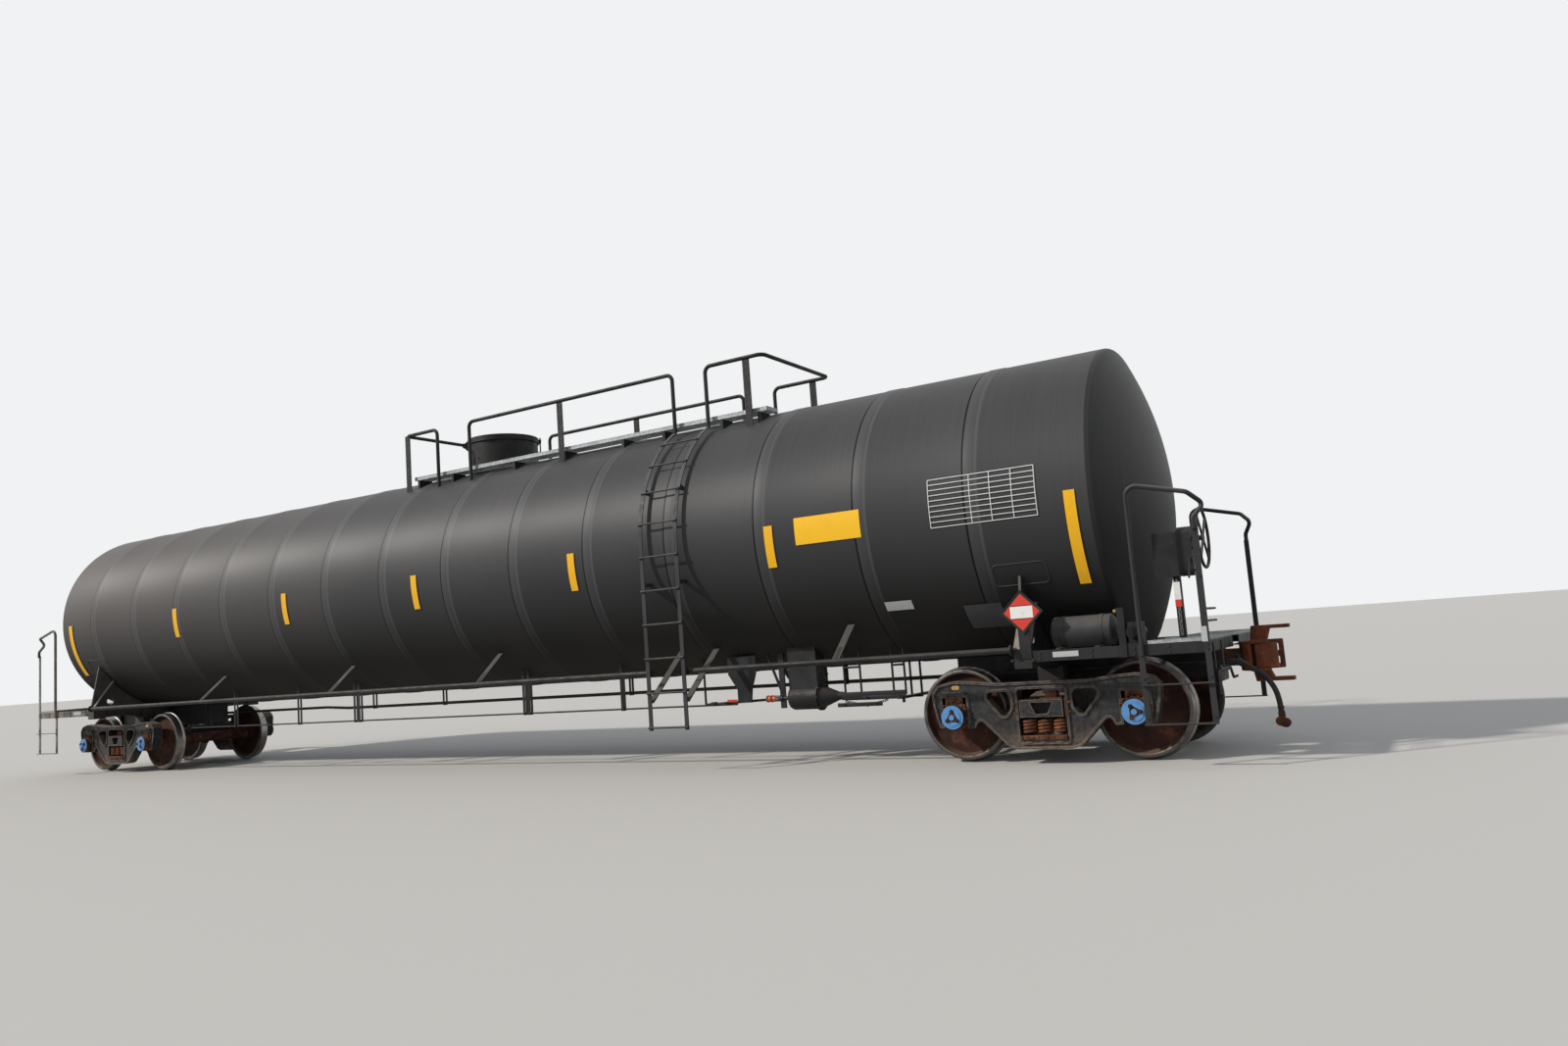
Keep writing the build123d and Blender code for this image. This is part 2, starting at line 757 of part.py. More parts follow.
# Top walkway: a galvanised strip of grating on each side of the housing, with deep side flanges
with BuildPart() as top_walkway:
    with BuildSketch(Plane.YZ.offset(walk_left)):
        for side in (-1, 1):
            with Locations((side * (walk_outer + walk_inner) / 2, walk_top)):
                Rectangle(walk_outer - walk_inner, walk_depth, align=(Align.CENTER, Align.MAX))
            with Locations((side * (walk_outer + walk_inner) / 2, walk_top - walk_plate)):
                Rectangle(walk_outer - walk_inner - 2 * walk_plate, walk_depth,
                          align=(Align.CENTER, Align.MAX), mode=Mode.SUBTRACT)
    extrude(amount=walk_right - walk_left)
write(top_walkway, "top_walkway")


# Walkway supports: a leg and a web from the jacket to the walkway at each place
def walkway_support(place):
    under = walk_top - walk_depth
    foot = tank_roof(walk_outer) - leg_thickness
    with BuildPart() as support:
        with BuildSketch(Plane.YZ.offset(place)):
            Polygon((walk_inner, foot), (walk_outer, foot), (walk_outer, under), (walk_inner, under),
                    align=None)
        extrude(amount=leg_thickness / 2, both=True)
        with Locations((place, walk_outer, foot)):
            Box(leg_width, leg_thickness, under - foot, align=(Align.CENTER, Align.MAX, Align.MIN))
        add(saddle, mode=Mode.SUBTRACT)
    return support.part


support_places = (walk_left + 80, housing_x - 260, housing_x + 910, middle_post, middle_post + 965,
                  ladder_x - 465, ladder_x + 395, walk_right - 115)
supports = [walkway_support(place) for place in support_places]
with BuildPart() as walkway_supports:
    add(supports)
    mirror(about=Plane.XZ)
write(walkway_supports, "walkway_supports")


# Handrails: tube frames with wide flat posts, their feet on the jacket or on the ladder's stiles
def cross_frame(near_end, far_end, foot):
    """A rail up at near_end, along to far_end, across the car and back down on the other side."""
    return swept_tube(((near_end, -rail_y, foot), (near_end, -rail_y, rail_height),
                       (far_end, -rail_y, rail_height), (far_end, rail_y, rail_height),
                       (near_end, rail_y, rail_height), (near_end, rail_y, foot)), [rail_bend] * 4, rail_tube)


def side_rail(side):
    """The long rail on one side, from the jacket along to the ladder's stile."""
    return swept_tube(((middle_frame_start, side * rail_y, jacket_foot),
                       (middle_frame_start, side * rail_y, rail_height),
                       (middle_frame_end, side * rail_y, rail_height),
                       (middle_frame_end, side * rail_y, stile_tip)), [rail_bend] * 2, rail_tube)


def posts(place):
    """Wide flat posts on both sides from the jacket up to the rail."""
    with BuildPart() as pair:
        with Locations((place, rail_y, rail_height), (place, -rail_y, rail_height)):
            Box(post_width, post_thickness, rail_height - tank_roof(rail_y) + 20,
                align=(Align.CENTER, Align.CENTER, Align.MAX))
    return pair.part


jacket_foot = tank_roof(rail_y) - post_thickness
left_rails = saddled(cross_frame(left_frame[1], left_frame[0], jacket_foot), posts(left_frame[0] + rail_tube))
middle_rails = saddled(side_rail(-1), side_rail(1), posts(middle_post))
right_rails = saddled(cross_frame(right_frame_start, right_frame_end, stile_tip), posts(ladder_x + right_post))
with BuildPart() as top_handrails:
    add([left_rails, middle_rails, right_rails])
write(top_handrails, "top_handrails")


# Protective housing: an open drum on top of the tank round the valves, with its lid hinged on the outside
def housing_plane(height):
    """Plane across the housing, its x axis pointing out through the hinge."""
    out = (cos(radians(hinge_angle)), sin(radians(hinge_angle)), 0)
    return Plane((housing_x, 0, height), x_dir=out, z_dir=(0, 0, 1))


def hinge_plane(shift=0.0):
    """Plane square to the hinge pin: its x axis points out, its y axis up."""
    out = (cos(radians(hinge_angle)), sin(radians(hinge_angle)), 0)
    along = (sin(radians(hinge_angle)), -cos(radians(hinge_angle)), 0)
    return Plane((housing_x + along[0] * shift, along[1] * shift, 0), x_dir=out, z_dir=along)


with BuildPart() as protective_housing:
    drum_foot = tank_roof(housing_radius) - 40
    with BuildSketch(housing_plane(drum_foot)):
        Circle(housing_radius)
        Circle(housing_radius - housing_wall, mode=Mode.SUBTRACT)
    extrude(amount=housing_top - drum_foot)
    for along in (-lug_width, lug_width):
        with BuildSketch(hinge_plane(along)):
            Polygon((housing_radius - 10, hinge_height - 90), (hinge_reach + 14, hinge_height - 8),
                    (hinge_reach + 14, hinge_height + 14), (housing_radius - 10, hinge_height - 16), align=None)
            with Locations((hinge_reach, hinge_height)):
                Circle(hinge_radius + 8)
                Circle(hinge_radius / 2 + running_gap, mode=Mode.SUBTRACT)
        extrude(amount=lug_thickness / 2, both=True)
    add(saddle, mode=Mode.SUBTRACT)
write(protective_housing, "protective_housing")

# Lid: a dished cover with a deep rim, a hinge knuckle between the housing's lugs and a latch lug opposite
with BuildPart() as housing_lid:
    rim = housing_radius + lid_overhang
    lid_top = housing_top + lid_plate
    with BuildSketch(hinge_plane()):
        with BuildLine():
            Polyline((0, housing_top + 1), (housing_radius + 5, housing_top + 1), (housing_radius + 5, lid_foot),
                     (rim, lid_foot), (rim, lid_top), (rim - 60, lid_top + 4),
                     (rim / 2, lid_top + 0.8 * lid_dome), (0, lid_top + lid_dome), close=True)
        make_face()
    revolve(axis=Axis((housing_x, 0, 0), (0, 0, 1)))
    with BuildSketch(hinge_plane()):
        Polygon((rim - 4, hinge_height - 2), (hinge_reach, hinge_height - hinge_radius),
                (hinge_reach, hinge_height + hinge_radius), (rim - 10, lid_top), align=None)
        with Locations((hinge_reach, hinge_height)):
            Circle(hinge_radius)
    extrude(amount=lug_width - lug_thickness / 2 - lug_gap, both=True)
    with BuildSketch(hinge_plane()):
        with Locations((hinge_reach, hinge_height)):
            Circle(hinge_radius / 2)
    extrude(amount=lug_width + 14, both=True)
    with BuildSketch(hinge_plane()):
        Polygon((-rim + 2, lid_foot + 4), (-rim - 34, lid_foot + 14), (-rim - 34, lid_foot + 34),
                (-rim + 2, lid_top - 6), align=None)
    extrude(amount=24, both=True)
write(housing_lid, "housing_lid")


# Valves inside the housing, on the manway cover
cover_top = tank_top + cover_rise


def ring_plane(angle, height):
    """Level plane at a place on the cover's ring of valves."""
    spot = (valve_ring * cos(radians(angle)), valve_ring * sin(radians(angle)), 0)
    return Plane(housing_plane(height).from_local_coords(spot))


def angle_valve(angle):
    """A liquid or vapour valve: its body, stem and hand wheel."""
    stem_foot = cover_top + angle_valve_height
    with BuildPart() as valve:
        with BuildSketch(ring_plane(angle, cover_top)):
            Circle(angle_valve_radius)
        extrude(amount=angle_valve_height)
        with BuildSketch(ring_plane(angle, stem_foot)):
            Circle(valve_stem_radius)
        extrude(amount=valve_stem_height)
        with BuildSketch(ring_plane(angle, stem_foot + valve_stem_height)):
            Circle(hand_wheel_radius)
        extrude(amount=hand_wheel_thickness)
    return valve.part


def gauge(angle):
    """A gauging device or thermometer well in its tube."""
    with BuildPart() as tube:
        with BuildSketch(ring_plane(angle, cover_top)):
            Circle(gauge_radius)
        extrude(amount=gauge_height)
    return tube.part


valves = [angle_valve(angle) for angle in (30, 150, 270)] + [gauge(angle) for angle in (90, 210)]
with BuildPart() as valve_set:
    neck_foot = tank_roof(neck_radius) - 20
    with BuildSketch(housing_plane(neck_foot)):
        Circle(neck_radius)
    extrude(amount=cover_top - cover_thickness - neck_foot)
    with BuildSketch(housing_plane(cover_top - cover_thickness)):
        Circle(cover_radius)
    extrude(amount=cover_thickness)
    # Safety relief valve in the middle, on its flange
    with BuildSketch(housing_plane(cover_top)):
        Circle(relief_flange_radius)
    extrude(amount=relief_flange_thickness)
    with BuildSketch(housing_plane(cover_top + relief_flange_thickness)):
        Circle(relief_radius)
    extrude(amount=relief_height, taper=4)
    add(valves)
    add(saddle, mode=Mode.SUBTRACT)
write(valve_set, "valve_set")

# Wheelsets: wheels with a dished plate, and axles with their journals and end caps
rim_inner = wheel_radius - rim_thickness
rim_face = wheel_back + rim_width
hub_back = wheel_back - hub_setback
hub_face = hub_back + hub_length


def turning_plane(place, side=1):
    """Plane through an axle's line: x points out along it to one side, y up from it."""
    return Plane((place, 0, axle_height), x_dir=(0, side, 0), z_dir=(-side, 0, 0))


def wheel(place):
    """The +y wheel of the axle at a place along the car, turned about the axle's line."""
    tread_start = wheel_back + flange_thickness
    plate_top = wheel_back + plate_drop + rim_width / 3
    plate_foot = hub_face - plate_drop - plate_thickness
    with BuildPart() as disc:
        with BuildSketch(turning_plane(place)):
            with BuildLine():
                FilletPolyline((wheel_back, rim_inner), (rim_face, rim_inner),
                               (rim_face, wheel_radius - tread_fall), (tread_start + 10, wheel_radius),
                               (tread_start - 8, wheel_radius + flange_height),
                               (wheel_back + 3, wheel_radius + flange_height),
                               radius=[8, 8, 6, 12, 8, 7], close=True)
            make_face()
            with Locations(((hub_back + hub_face) / 2, (wheel_seat_radius + seat_gap + hub_radius) / 2)):
                RectangleRounded(hub_length, hub_radius - wheel_seat_radius - seat_gap, 8)
            # The plate leans out from the rim to the hub in one smooth bend
            with BuildLine():
                FilletPolyline((plate_top, rim_inner + 6), (plate_top, rim_inner - plate_drop),
                               (plate_foot, hub_radius + plate_drop), (plate_foot, hub_radius - 6), radius=90)
            trace(line_width=plate_thickness)
        revolve(axis=axle_line(place))
    return disc.part


def axle_line(place):
    return Axis((place, 0, axle_height), (0, 1, 0))


def half_axle(place):
    """The +y half of an axle: its taper, wheel seat, journal and end cap."""
    seat_start = hub_back - seat_overrun
    seat_stop = hub_face + seat_overrun
    journal_start = journal_centre - bearing_length / 2 - 12
    cap_start = journal_centre + bearing_length / 2 + 5
    with BuildPart() as shaft:
        with BuildSketch(turning_plane(place)):
            Polygon((0, 0), (0, axle_radius), (axle_waist, axle_radius), (seat_start - 40, axle_radius + 6),
                    (seat_start, wheel_seat_radius), (seat_stop, wheel_seat_radius),
                    (seat_stop + 50, journal_radius + 12), (journal_start, journal_radius),
                    (cap_start, journal_radius), (cap_start, end_cap_radius - 8),
                    (cap_start + 8, end_cap_radius), (end_cap_face - 18, end_cap_radius),
                    (end_cap_face, end_cap_radius - 24), (end_cap_face, 0), align=None)
        revolve(axis=axle_line(place))
    return shaft.part


axle_places = [end * truck_x + step for end in (-1, 1) for step in (-wheelbase / 2, wheelbase / 2)]
for number, place in enumerate(axle_places, start=1):
    disc = wheel(place)
    with BuildPart() as wheels:
        add(disc)
        mirror(about=Plane.XZ)
    write(wheels, f"wheels_{number}")
    shaft = half_axle(place)
    with BuildPart() as axle:
        add(shaft)
        mirror(about=Plane.XZ)
    write(axle, f"axle_{number}")

# Trucks: cast side frames, bolster, springs, bearings with adapters, and brake beams
axle_at = wheelbase / 2                 # an axle from its truck's centre


def frame_outline():
    """A side frame's outline from its own middle: x along the car, y above the axle."""
    foot, waist, crown = window_foot - frame_foot_depth, -20, window_roof + frame_top_depth
    right = [(window_half + 26, foot, 60), (window_half + 116, foot + 25, 90), (axle_at - 249, waist, 50),
             (axle_at - jaw_half - 72, jaw_mouth - 14, 14), (axle_at + jaw_half + 46, jaw_mouth, 20),
             (axle_at + 223, 103, 90), (axle_at + 237, 233, 60), (axle_at + 171, crown + 6, 90),
             (axle_at + 11, crown + 40, 120), (axle_at - 189, crown + 26, 200), (axle_at - 449, crown, 200)]
    ring = right + [(-x, y, radius) for x, y, radius in reversed(right)]
    with BuildSketch() as outline:
        with BuildLine():
            FilletPolyline(*[(x, y) for x, y, radius in ring], radius=[radius for x, y, radius in ring],
                           close=True)
        make_face()
    return outline.sketch


def frame_openings(margin):
    """The bolster window, bearing jaws and side windows of a side frame, each grown by a margin."""
    with BuildSketch() as openings:
        with BuildLine():
            FilletPolyline((window_half + 68, 233), (axle_at - 297, 223), (window_half + 148, -33),
                           (window_half + 68, 63), radius=[60, 44, 40, 80], close=True)
        make_face()
        with Locations((axle_at, jaw_roof)):
            Rectangle(2 * jaw_half, jaw_roof - jaw_mouth + 100, align=(Align.CENTER, Align.MAX))
        fillet(openings.vertices().group_by(Axis.Y)[-2], jaw_corner)
        mirror(about=Plane.YZ)
        with Locations((0, (window_roof + window_foot) / 2)):
            RectangleRounded(2 * window_half, window_roof - window_foot, window_corner)
        if margin > 0:
            offset(amount=margin)
    return openings.sketch


def side_frame():
    """The side frame on the +y side at end B: lips round its outer face, and the springs' tray."""
    face_plane = Plane((truck_x, frame_inner + frame_thickness, axle_height), x_dir=(1, 0, 0), z_dir=(0, -1, 0))
    with BuildPart() as frame:
        with BuildSketch(face_plane):
            add(outline)
            add(openings, mode=Mode.SUBTRACT)
        extrude(amount=frame_thickness)
        with BuildSketch(face_plane):
            add(inner_outline)
            add(grown_openings, mode=Mode.SUBTRACT)
        extrude(amount=frame_thickness - frame_web, mode=Mode.SUBTRACT)
        with BuildSketch(Plane((truck_x, journal_centre, axle_height + spring_seat))):
            Rectangle(2 * seat_half, frame_thickness)
            with Locations(*[(place, 0) for place in spring_places]):
                Circle(spring_radius + tray_lip)
        extrude(amount=window_foot - spring_seat - 5)
    return frame.part


spring_places = (-spring_pitch, 0, spring_pitch)
outline = frame_outline()
with BuildSketch() as lip_line:
    add(outline)
    offset(amount=-lip_width)
inner_outline = lip_line.sketch
openings = frame_openings(0)
grown_openings = frame_openings(lip_width)


def truck_bolster():
    """The cast bolster at end B: open pockets in its ends, centre bowl and side bearings."""
    bowl_floor = axle_height + centre_plate - running_gap
    end_top = axle_height + bolster_end_top
    end_foot = axle_height + bolster_end_foot
    shoulder = frame_inner - 55
    with BuildPart() as beam:
        with BuildSketch(Plane.YZ.offset(truck_x)):
            Polygon((0, axle_height + bolster_crown), (560, axle_height + bolster_crown), (shoulder, end_top),
                    (bolster_reach, end_top), (bolster_reach, end_foot), (shoulder, end_foot),
                    (520, axle_height + bolster_belly), (0, axle_height + bolster_belly), align=None)
            mirror(about=Plane.YZ)
        extrude(amount=bolster_half, both=True)
        with Locations((truck_x, 0, axle_height + bolster_crown - 40)):
            Cylinder(centre_plate_radius + bowl_rim, centre_plate + bowl_lip - bolster_crown + 40,
                     align=(Align.CENTER, Align.CENTER, Align.MIN))
        with Locations((truck_x, 0, bowl_floor)):
            Cylinder(centre_plate_radius + bowl_gap, 100, align=(Align.CENTER, Align.CENTER, Align.MIN),
                     mode=Mode.SUBTRACT)
        with BuildSketch(Plane.XY.offset(bearing_plate_foot - side_bearing_gap)):
            with Locations((truck_x, side_bearing_y), (truck_x, -side_bearing_y)):
                RectangleRounded(220, 96, 20)
        extrude(amount=-side_bearing_height)
        # Two sloping webs stand in each open end
        inner_top = bolster_end_top - pocket_wall
        inner_foot = bolster_end_foot + pocket_wall
        inner_half = bolster_half - pocket_wall
        for side in (-1, 1):
            with BuildSketch(Plane((truck_x, side * bolster_reach, axle_height), x_dir=(side, 0, 0),
                                   z_dir=(0, -side, 0))):
                Trapezoid(2 * pocket_top, inner_top - inner_foot, pocket_slope, rotation=180,
                          align=(Align.CENTER, Align.MAX))
            extrude(amount=pocket_depth, mode=Mode.SUBTRACT)
    return beam.part


def coil_spring(place, side):
    """A spring drawn as a stack of round coils on its core, at end B."""
    height = bolster_end_foot - spring_seat
    axis = Axis((truck_x + place, side * journal_centre, 0), (0, 0, 1))
    with BuildPart() as spring:
        with BuildSketch(Plane((truck_x + place, side * journal_centre, axle_height + spring_seat),
                               x_dir=(1, 0, 0), z_dir=(0, -1, 0))):
            Rectangle(spring_radius - spring_bar, height, align=(Align.MIN, Align.MIN))
            with Locations(*[(spring_radius - spring_bar, (turn + 0.5) * height / spring_turns)
                             for turn in range(spring_turns)]):
                Circle(spring_bar)
        revolve(axis=axis)
    return spring.part


def bearing(wheel_side, side):
    """A roller bearing with its adapter under the frame's jaw, at end B."""
    with BuildPart() as unit:
        with BuildSketch(Plane((truck_x + wheel_side * axle_at, side * journal_centre, axle_height),
                               x_dir=(1, 0, 0), z_dir=(0, -1, 0))):
            Circle(bearing_radius)
            Rectangle(2 * adapter_half, jaw_roof - running_gap, align=(Align.CENTER, Align.MIN))
            Circle(journal_radius + running_gap, mode=Mode.SUBTRACT)
        extrude(amount=bearing_length / 2, both=True)
    return unit.part


def brake_beam(wheel_side):
    """A truss beam with its two shoes, for one axle at end B."""
    reach = frame_inner - running_gap
    front = beam_offset + beam_depth / 2
    back = bolster_half + beam_clearance
    level = axle_height + beam_height
    shoe_middle = wheel_back + flange_thickness + flange_clearance + shoe_width / 2
    with BuildPart() as beam:
        with BuildSketch(Plane((truck_x, 0, level), x_dir=(wheel_side, 0, 0), z_dir=(0, 0, 1))):
            Polygon((front, 0), (front, reach), (front - beam_depth, reach), (back, 60), (back, 0), align=None)
            Polygon((front - beam_bar, 45), (front - beam_bar, 780), (back + beam_bar, 45), align=None,
                    mode=Mode.SUBTRACT)
            mirror(about=Plane.XZ)
        extrude(amount=beam_bar, both=True)
        for side in (-1, 1):
            with BuildSketch(Plane((truck_x + wheel_side * axle_at, side * shoe_middle, axle_height),
                                   x_dir=(wheel_side, 0, 0), z_dir=(0, -wheel_side, 0))):
                Circle(wheel_radius + shoe_gap + shoe_thickness)
                Circle(wheel_radius + shoe_gap, mode=Mode.SUBTRACT)
                with Locations((-wheel_radius, beam_height / 2)):
                    Rectangle(240, 300, mode=Mode.INTERSECT)
                with Locations((-axle_at + front - 10, beam_height)):
                    Rectangle(80, 150, align=(Align.MIN, Align.CENTER))
                Circle(wheel_radius + shoe_gap, mode=Mode.SUBTRACT)
            extrude(amount=shoe_width / 2, both=True)
    return beam.part


frame = side_frame()
bolster_casting = truck_bolster()
spring_nest = [coil_spring(place, side) for place in spring_places for side in (-1, 1)]
bearing_set = [bearing(wheel_side, side) for wheel_side in (-1, 1) for side in (-1, 1)]
beam_pair = [brake_beam(wheel_side) for wheel_side in (-1, 1)]
for name, end in ends:
    with BuildPart() as side_frames:
        add(at_end(frame, end))
        mirror(about=Plane.XZ)
    write(side_frames, f"side_frames_{name}")
    with BuildPart() as bolster:
        add(at_end(bolster_casting, end))
    write(bolster, f"truck_bolster_{name}")
    with BuildPart() as springs:
        add([at_end(spring, end) for spring in spring_nest])
    write(springs, f"truck_springs_{name}")
    with BuildPart() as bearings:
        add([at_end(unit, end) for unit in bearing_set])
    write(bearings, f"bearings_{name}")
    with BuildPart() as brake_beams:
        add([at_end(beam, end) for beam in beam_pair])
    write(brake_beams, f"brake_beams_{name}")


# Couplers: shank, head with guard arm, knuckle lugs and both shelves; the knuckle turns on its pin
def coupler_head():
    """The coupler at end B, pointing to +x, its knuckle on the -y side."""
    lug_start = knuckle_half_height + knuckle_gap
    with BuildPart() as head:
        # The head's outline from its pulling face, round the guard arm and back past the knuckle's lugs
        with BuildSketch(Plane((pulling_face, 0, coupler_height))):
            with BuildLine():
                FilletPolyline((-head_depth, -75), (-head_depth, 75), (-168, 165), (-73, 190),
                               (guard_reach - 55, guard_half), (guard_reach, guard_half - 5),
                               (guard_reach - 5, guard_half - 45), (7, 130), (-41, 60), (-113, 40), (-113, -68),
                               (-135, -212), (-203, -160),
                               radius=[12, 24, 40, 40, 14, 14, 40, 20, 14, 12, 20, 20, 12], close=True)
            make_face()
        extrude(amount=head_half_height, both=True)
        for face in (head.faces().sort_by(Axis.Z)[0], head.faces().sort_by(Axis.Z)[-1]):
            chamfer(face.edges(), head_chamfer)
        # Two slots through the guard arm
        with BuildSketch(Plane((pulling_face + guard_reach - 60, guard_half - 90, coupler_height),
                               x_dir=(1, 0, 0), z_dir=(0, 1, 0))):
            with Locations((0, slot_height), (0, -slot_height)):
                RectangleRounded(34, 70, 10)
        extrude(amount=140, both=True, mode=Mode.SUBTRACT)
        # Shank, widening into the head, with the tail's round end and its pin hole
        with BuildSketch(Plane.XY.offset(coupler_height)):
            with Locations((coupler_pivot, 0)):
                Circle(tail_radius)
            shank = coupler_length - head_depth + 45
            with Locations((coupler_pivot, 0)):
                Rectangle(shank, 2 * shank_half_width, align=(Align.MIN, Align.CENTER))
                Circle(yoke_pin_radius + running_gap, mode=Mode.SUBTRACT)
        extrude(amount=shank_half_height, both=True)
        for side, lift in zip((1, -1), shelf_lifts):
            # Lugs that hold the knuckle's pin, above and below the knuckle
            with BuildSketch(Plane.XY.offset(coupler_height + side * lug_start)):
                with Locations((pin_x, pin_offset)):
                    Circle(lug_radius)
                Polygon((pulling_face - 143, -212), (pulling_face - 143, -20), (pin_x, pin_offset + lug_radius),
                        (pin_x, pin_offset - lug_radius), align=None)
            extrude(amount=side * (head_half_height + lug_rise - lug_start))
            # Shelf on its upright web, which keeps a mated coupler from riding over
            root = head_half_height - 4
            with BuildSketch(Plane((pulling_face, shelf_y, coupler_height), x_dir=(1, 0, 0),
                                   z_dir=(0, -1, 0))):
                Polygon((shelf_start, side * root), (shelf_start + 20, side * lift), (shelf_reach, side * lift),
                        (shelf_reach, side * (lift - shelf_thickness)),
                        (shelf_start + shelf_root, side * (lift - shelf_thickness)),
                        (shelf_start + shelf_root - 35, side * root), align=None)
            extrude(amount=shelf_width / 2, both=True)
        with Locations((pin_x, pin_offset, coupler_height)):
            Cylinder(pin_radius, 2 * (head_half_height + pin_overrun))
    return head.part


def coupler_knuckle():
    """The hook that turns on the pin, at end B: hub, tail stop and nose."""
    with BuildPart() as hook:
        with BuildSketch(Plane((pulling_face, 0, coupler_height))):
            with BuildLine():
                FilletPolyline((-98, -66), (-98, -190), (-28, -208), (55, -168), (89, -96), (85, -8), (37, 14),
                               (0, 2), (0, -58), (-43, -60),
                               radius=[16, 24, 50, 40, 30, 20, 16, 16, 12, 10], close=True)
            make_face()
            with Locations((-pin_setback, pin_offset)):
                Circle(pin_radius + running_gap, mode=Mode.SUBTRACT)
        extrude(amount=knuckle_half_height, both=True)
    return hook.part


head = coupler_head()
hook = coupler_knuckle()
for name, end in ends:
    with BuildPart() as coupler:
        add(turned_to(head, end))
    write(coupler, f"coupler_{name}")
    with BuildPart() as knuckle:
        add(turned_to(hook, end))
    write(knuckle, f"knuckle_{name}")


# Uncoupling levers: a bent rod from a handle at the car's corner in to the draft sill
def uncoupling_lever():
    """The lever at end B, carried by two brackets on the outer cross channel."""
    handle_y = -(side_reach - handle_inset)
    drop = release_height - release_drop
    face = cross_outer + channel_width / 2
    rod = swept_tube(((lever_x, handle_y, drop - release_drop), (lever_x, handle_y, release_height),
                      (lever_x, handle_y + 570, release_height), (lever_x, handle_y + 690, drop),
                      (lever_x, handle_y + 900, drop)), (50, 60, 60), release_radius)
    with BuildPart() as lever:
        add(rod)
        for place in (handle_y + 70, handle_y + 480):
            with Locations((face, place, release_height - 20)):
                Box(10, 40, channel_top - release_height, align=(Align.MIN, Align.CENTER, Align.MIN))
            with Locations((face, place, release_height)):
                Box(lever_x - face + release_radius, 40, 40, align=(Align.MIN, Align.CENTER, Align.CENTER))
    return lever.part


lever_x = tank_half + lever_x_inset
lever = uncoupling_lever()
with BuildPart() as uncoupling_levers:
    add([lever, turned_to(lever, -1)])
write(uncoupling_levers, "uncoupling_levers")

# Air reservoir: a dished cylinder lying on two cradles over the near side channel at end B
reservoir_end = tank_half + reservoir_overrun
reservoir_start = reservoir_end - reservoir_length
reservoir_y = -(side_reach - reservoir_inset)
reservoir_height = channel_top + reservoir_radius + 6
with BuildPart() as air_reservoir:
    with BuildSketch(Plane((0, reservoir_y, reservoir_height), x_dir=(1, 0, 0), z_dir=(0, -1, 0))):
        with BuildLine():
            shoulder = reservoir_end - reservoir_bulge
            far_shoulder = reservoir_start + reservoir_bulge
            near_head = ThreePointArc((reservoir_end, 0), (reservoir_end - 12, reservoir_radius * 0.7),
                                      (shoulder, reservoir_radius))
            far_head = ThreePointArc((reservoir_start, 0), (reservoir_start + 12, reservoir_radius * 0.7),
                                     (far_shoulder, reservoir_radius))
            Line(near_head @ 1, far_head @ 1)
            Line(near_head @ 0, far_head @ 0)
        make_face()
    revolve(axis=Axis((0, reservoir_y, reservoir_height), (1, 0, 0)))
    for place in (reservoir_start + cradle_inset, reservoir_end - cradle_inset):
        with Locations((place, -side_reach, channel_top)):
            Box(cradle_width, reservoir_inset + reservoir_radius * 0.8, 14,
                align=(Align.CENTER, Align.MIN, Align.MIN))
        with BuildSketch(Plane((place, reservoir_y, reservoir_height), x_dir=(0, 1, 0), z_dir=(1, 0, 0))):
            Circle(reservoir_radius + cradle_thickness)
        extrude(amount=cradle_width / 2, both=True)
write(air_reservoir, "air_reservoir")

# Control valve: pipe bracket with the service and emergency portions, on a shelf beside the reservoir
valve_x = tank_half + valve_inset
valve_y = -(side_reach - valve_body_inset)
with BuildPart() as control_valve:
    with Locations((valve_x, -side_reach, channel_top)):
        Box(150, 420, 12, align=(Align.CENTER, Align.MIN, Align.MIN))
    with Locations((valve_x, valve_y, channel_top + 12)):
        Box(120, 150, 190, align=(Align.CENTER, Align.CENTER, Align.MIN))
    for side in (-1, 1):
        with BuildSketch(Plane((valve_x, valve_y + side * 74, channel_top + 112), x_dir=(1, 0, 0),
                               z_dir=(0, side, 0))):
            Circle(62)
        extrude(amount=80)
        with BuildSketch(Plane((valve_x, valve_y + side * 154, channel_top + 112), x_dir=(1, 0, 0),
                               z_dir=(0, side, 0))):
            Circle(48)
        extrude(amount=32)
    # Flat post on the side channel's outer face, between the valve and the reservoir
    with Locations((reservoir_end + valve_bracket_inset - 55, -side_reach, channel_foot - 5)):
        Box(60, 12, 442, align=(Align.CENTER, Align.MAX, Align.MIN))
write(control_valve, "control_valve")

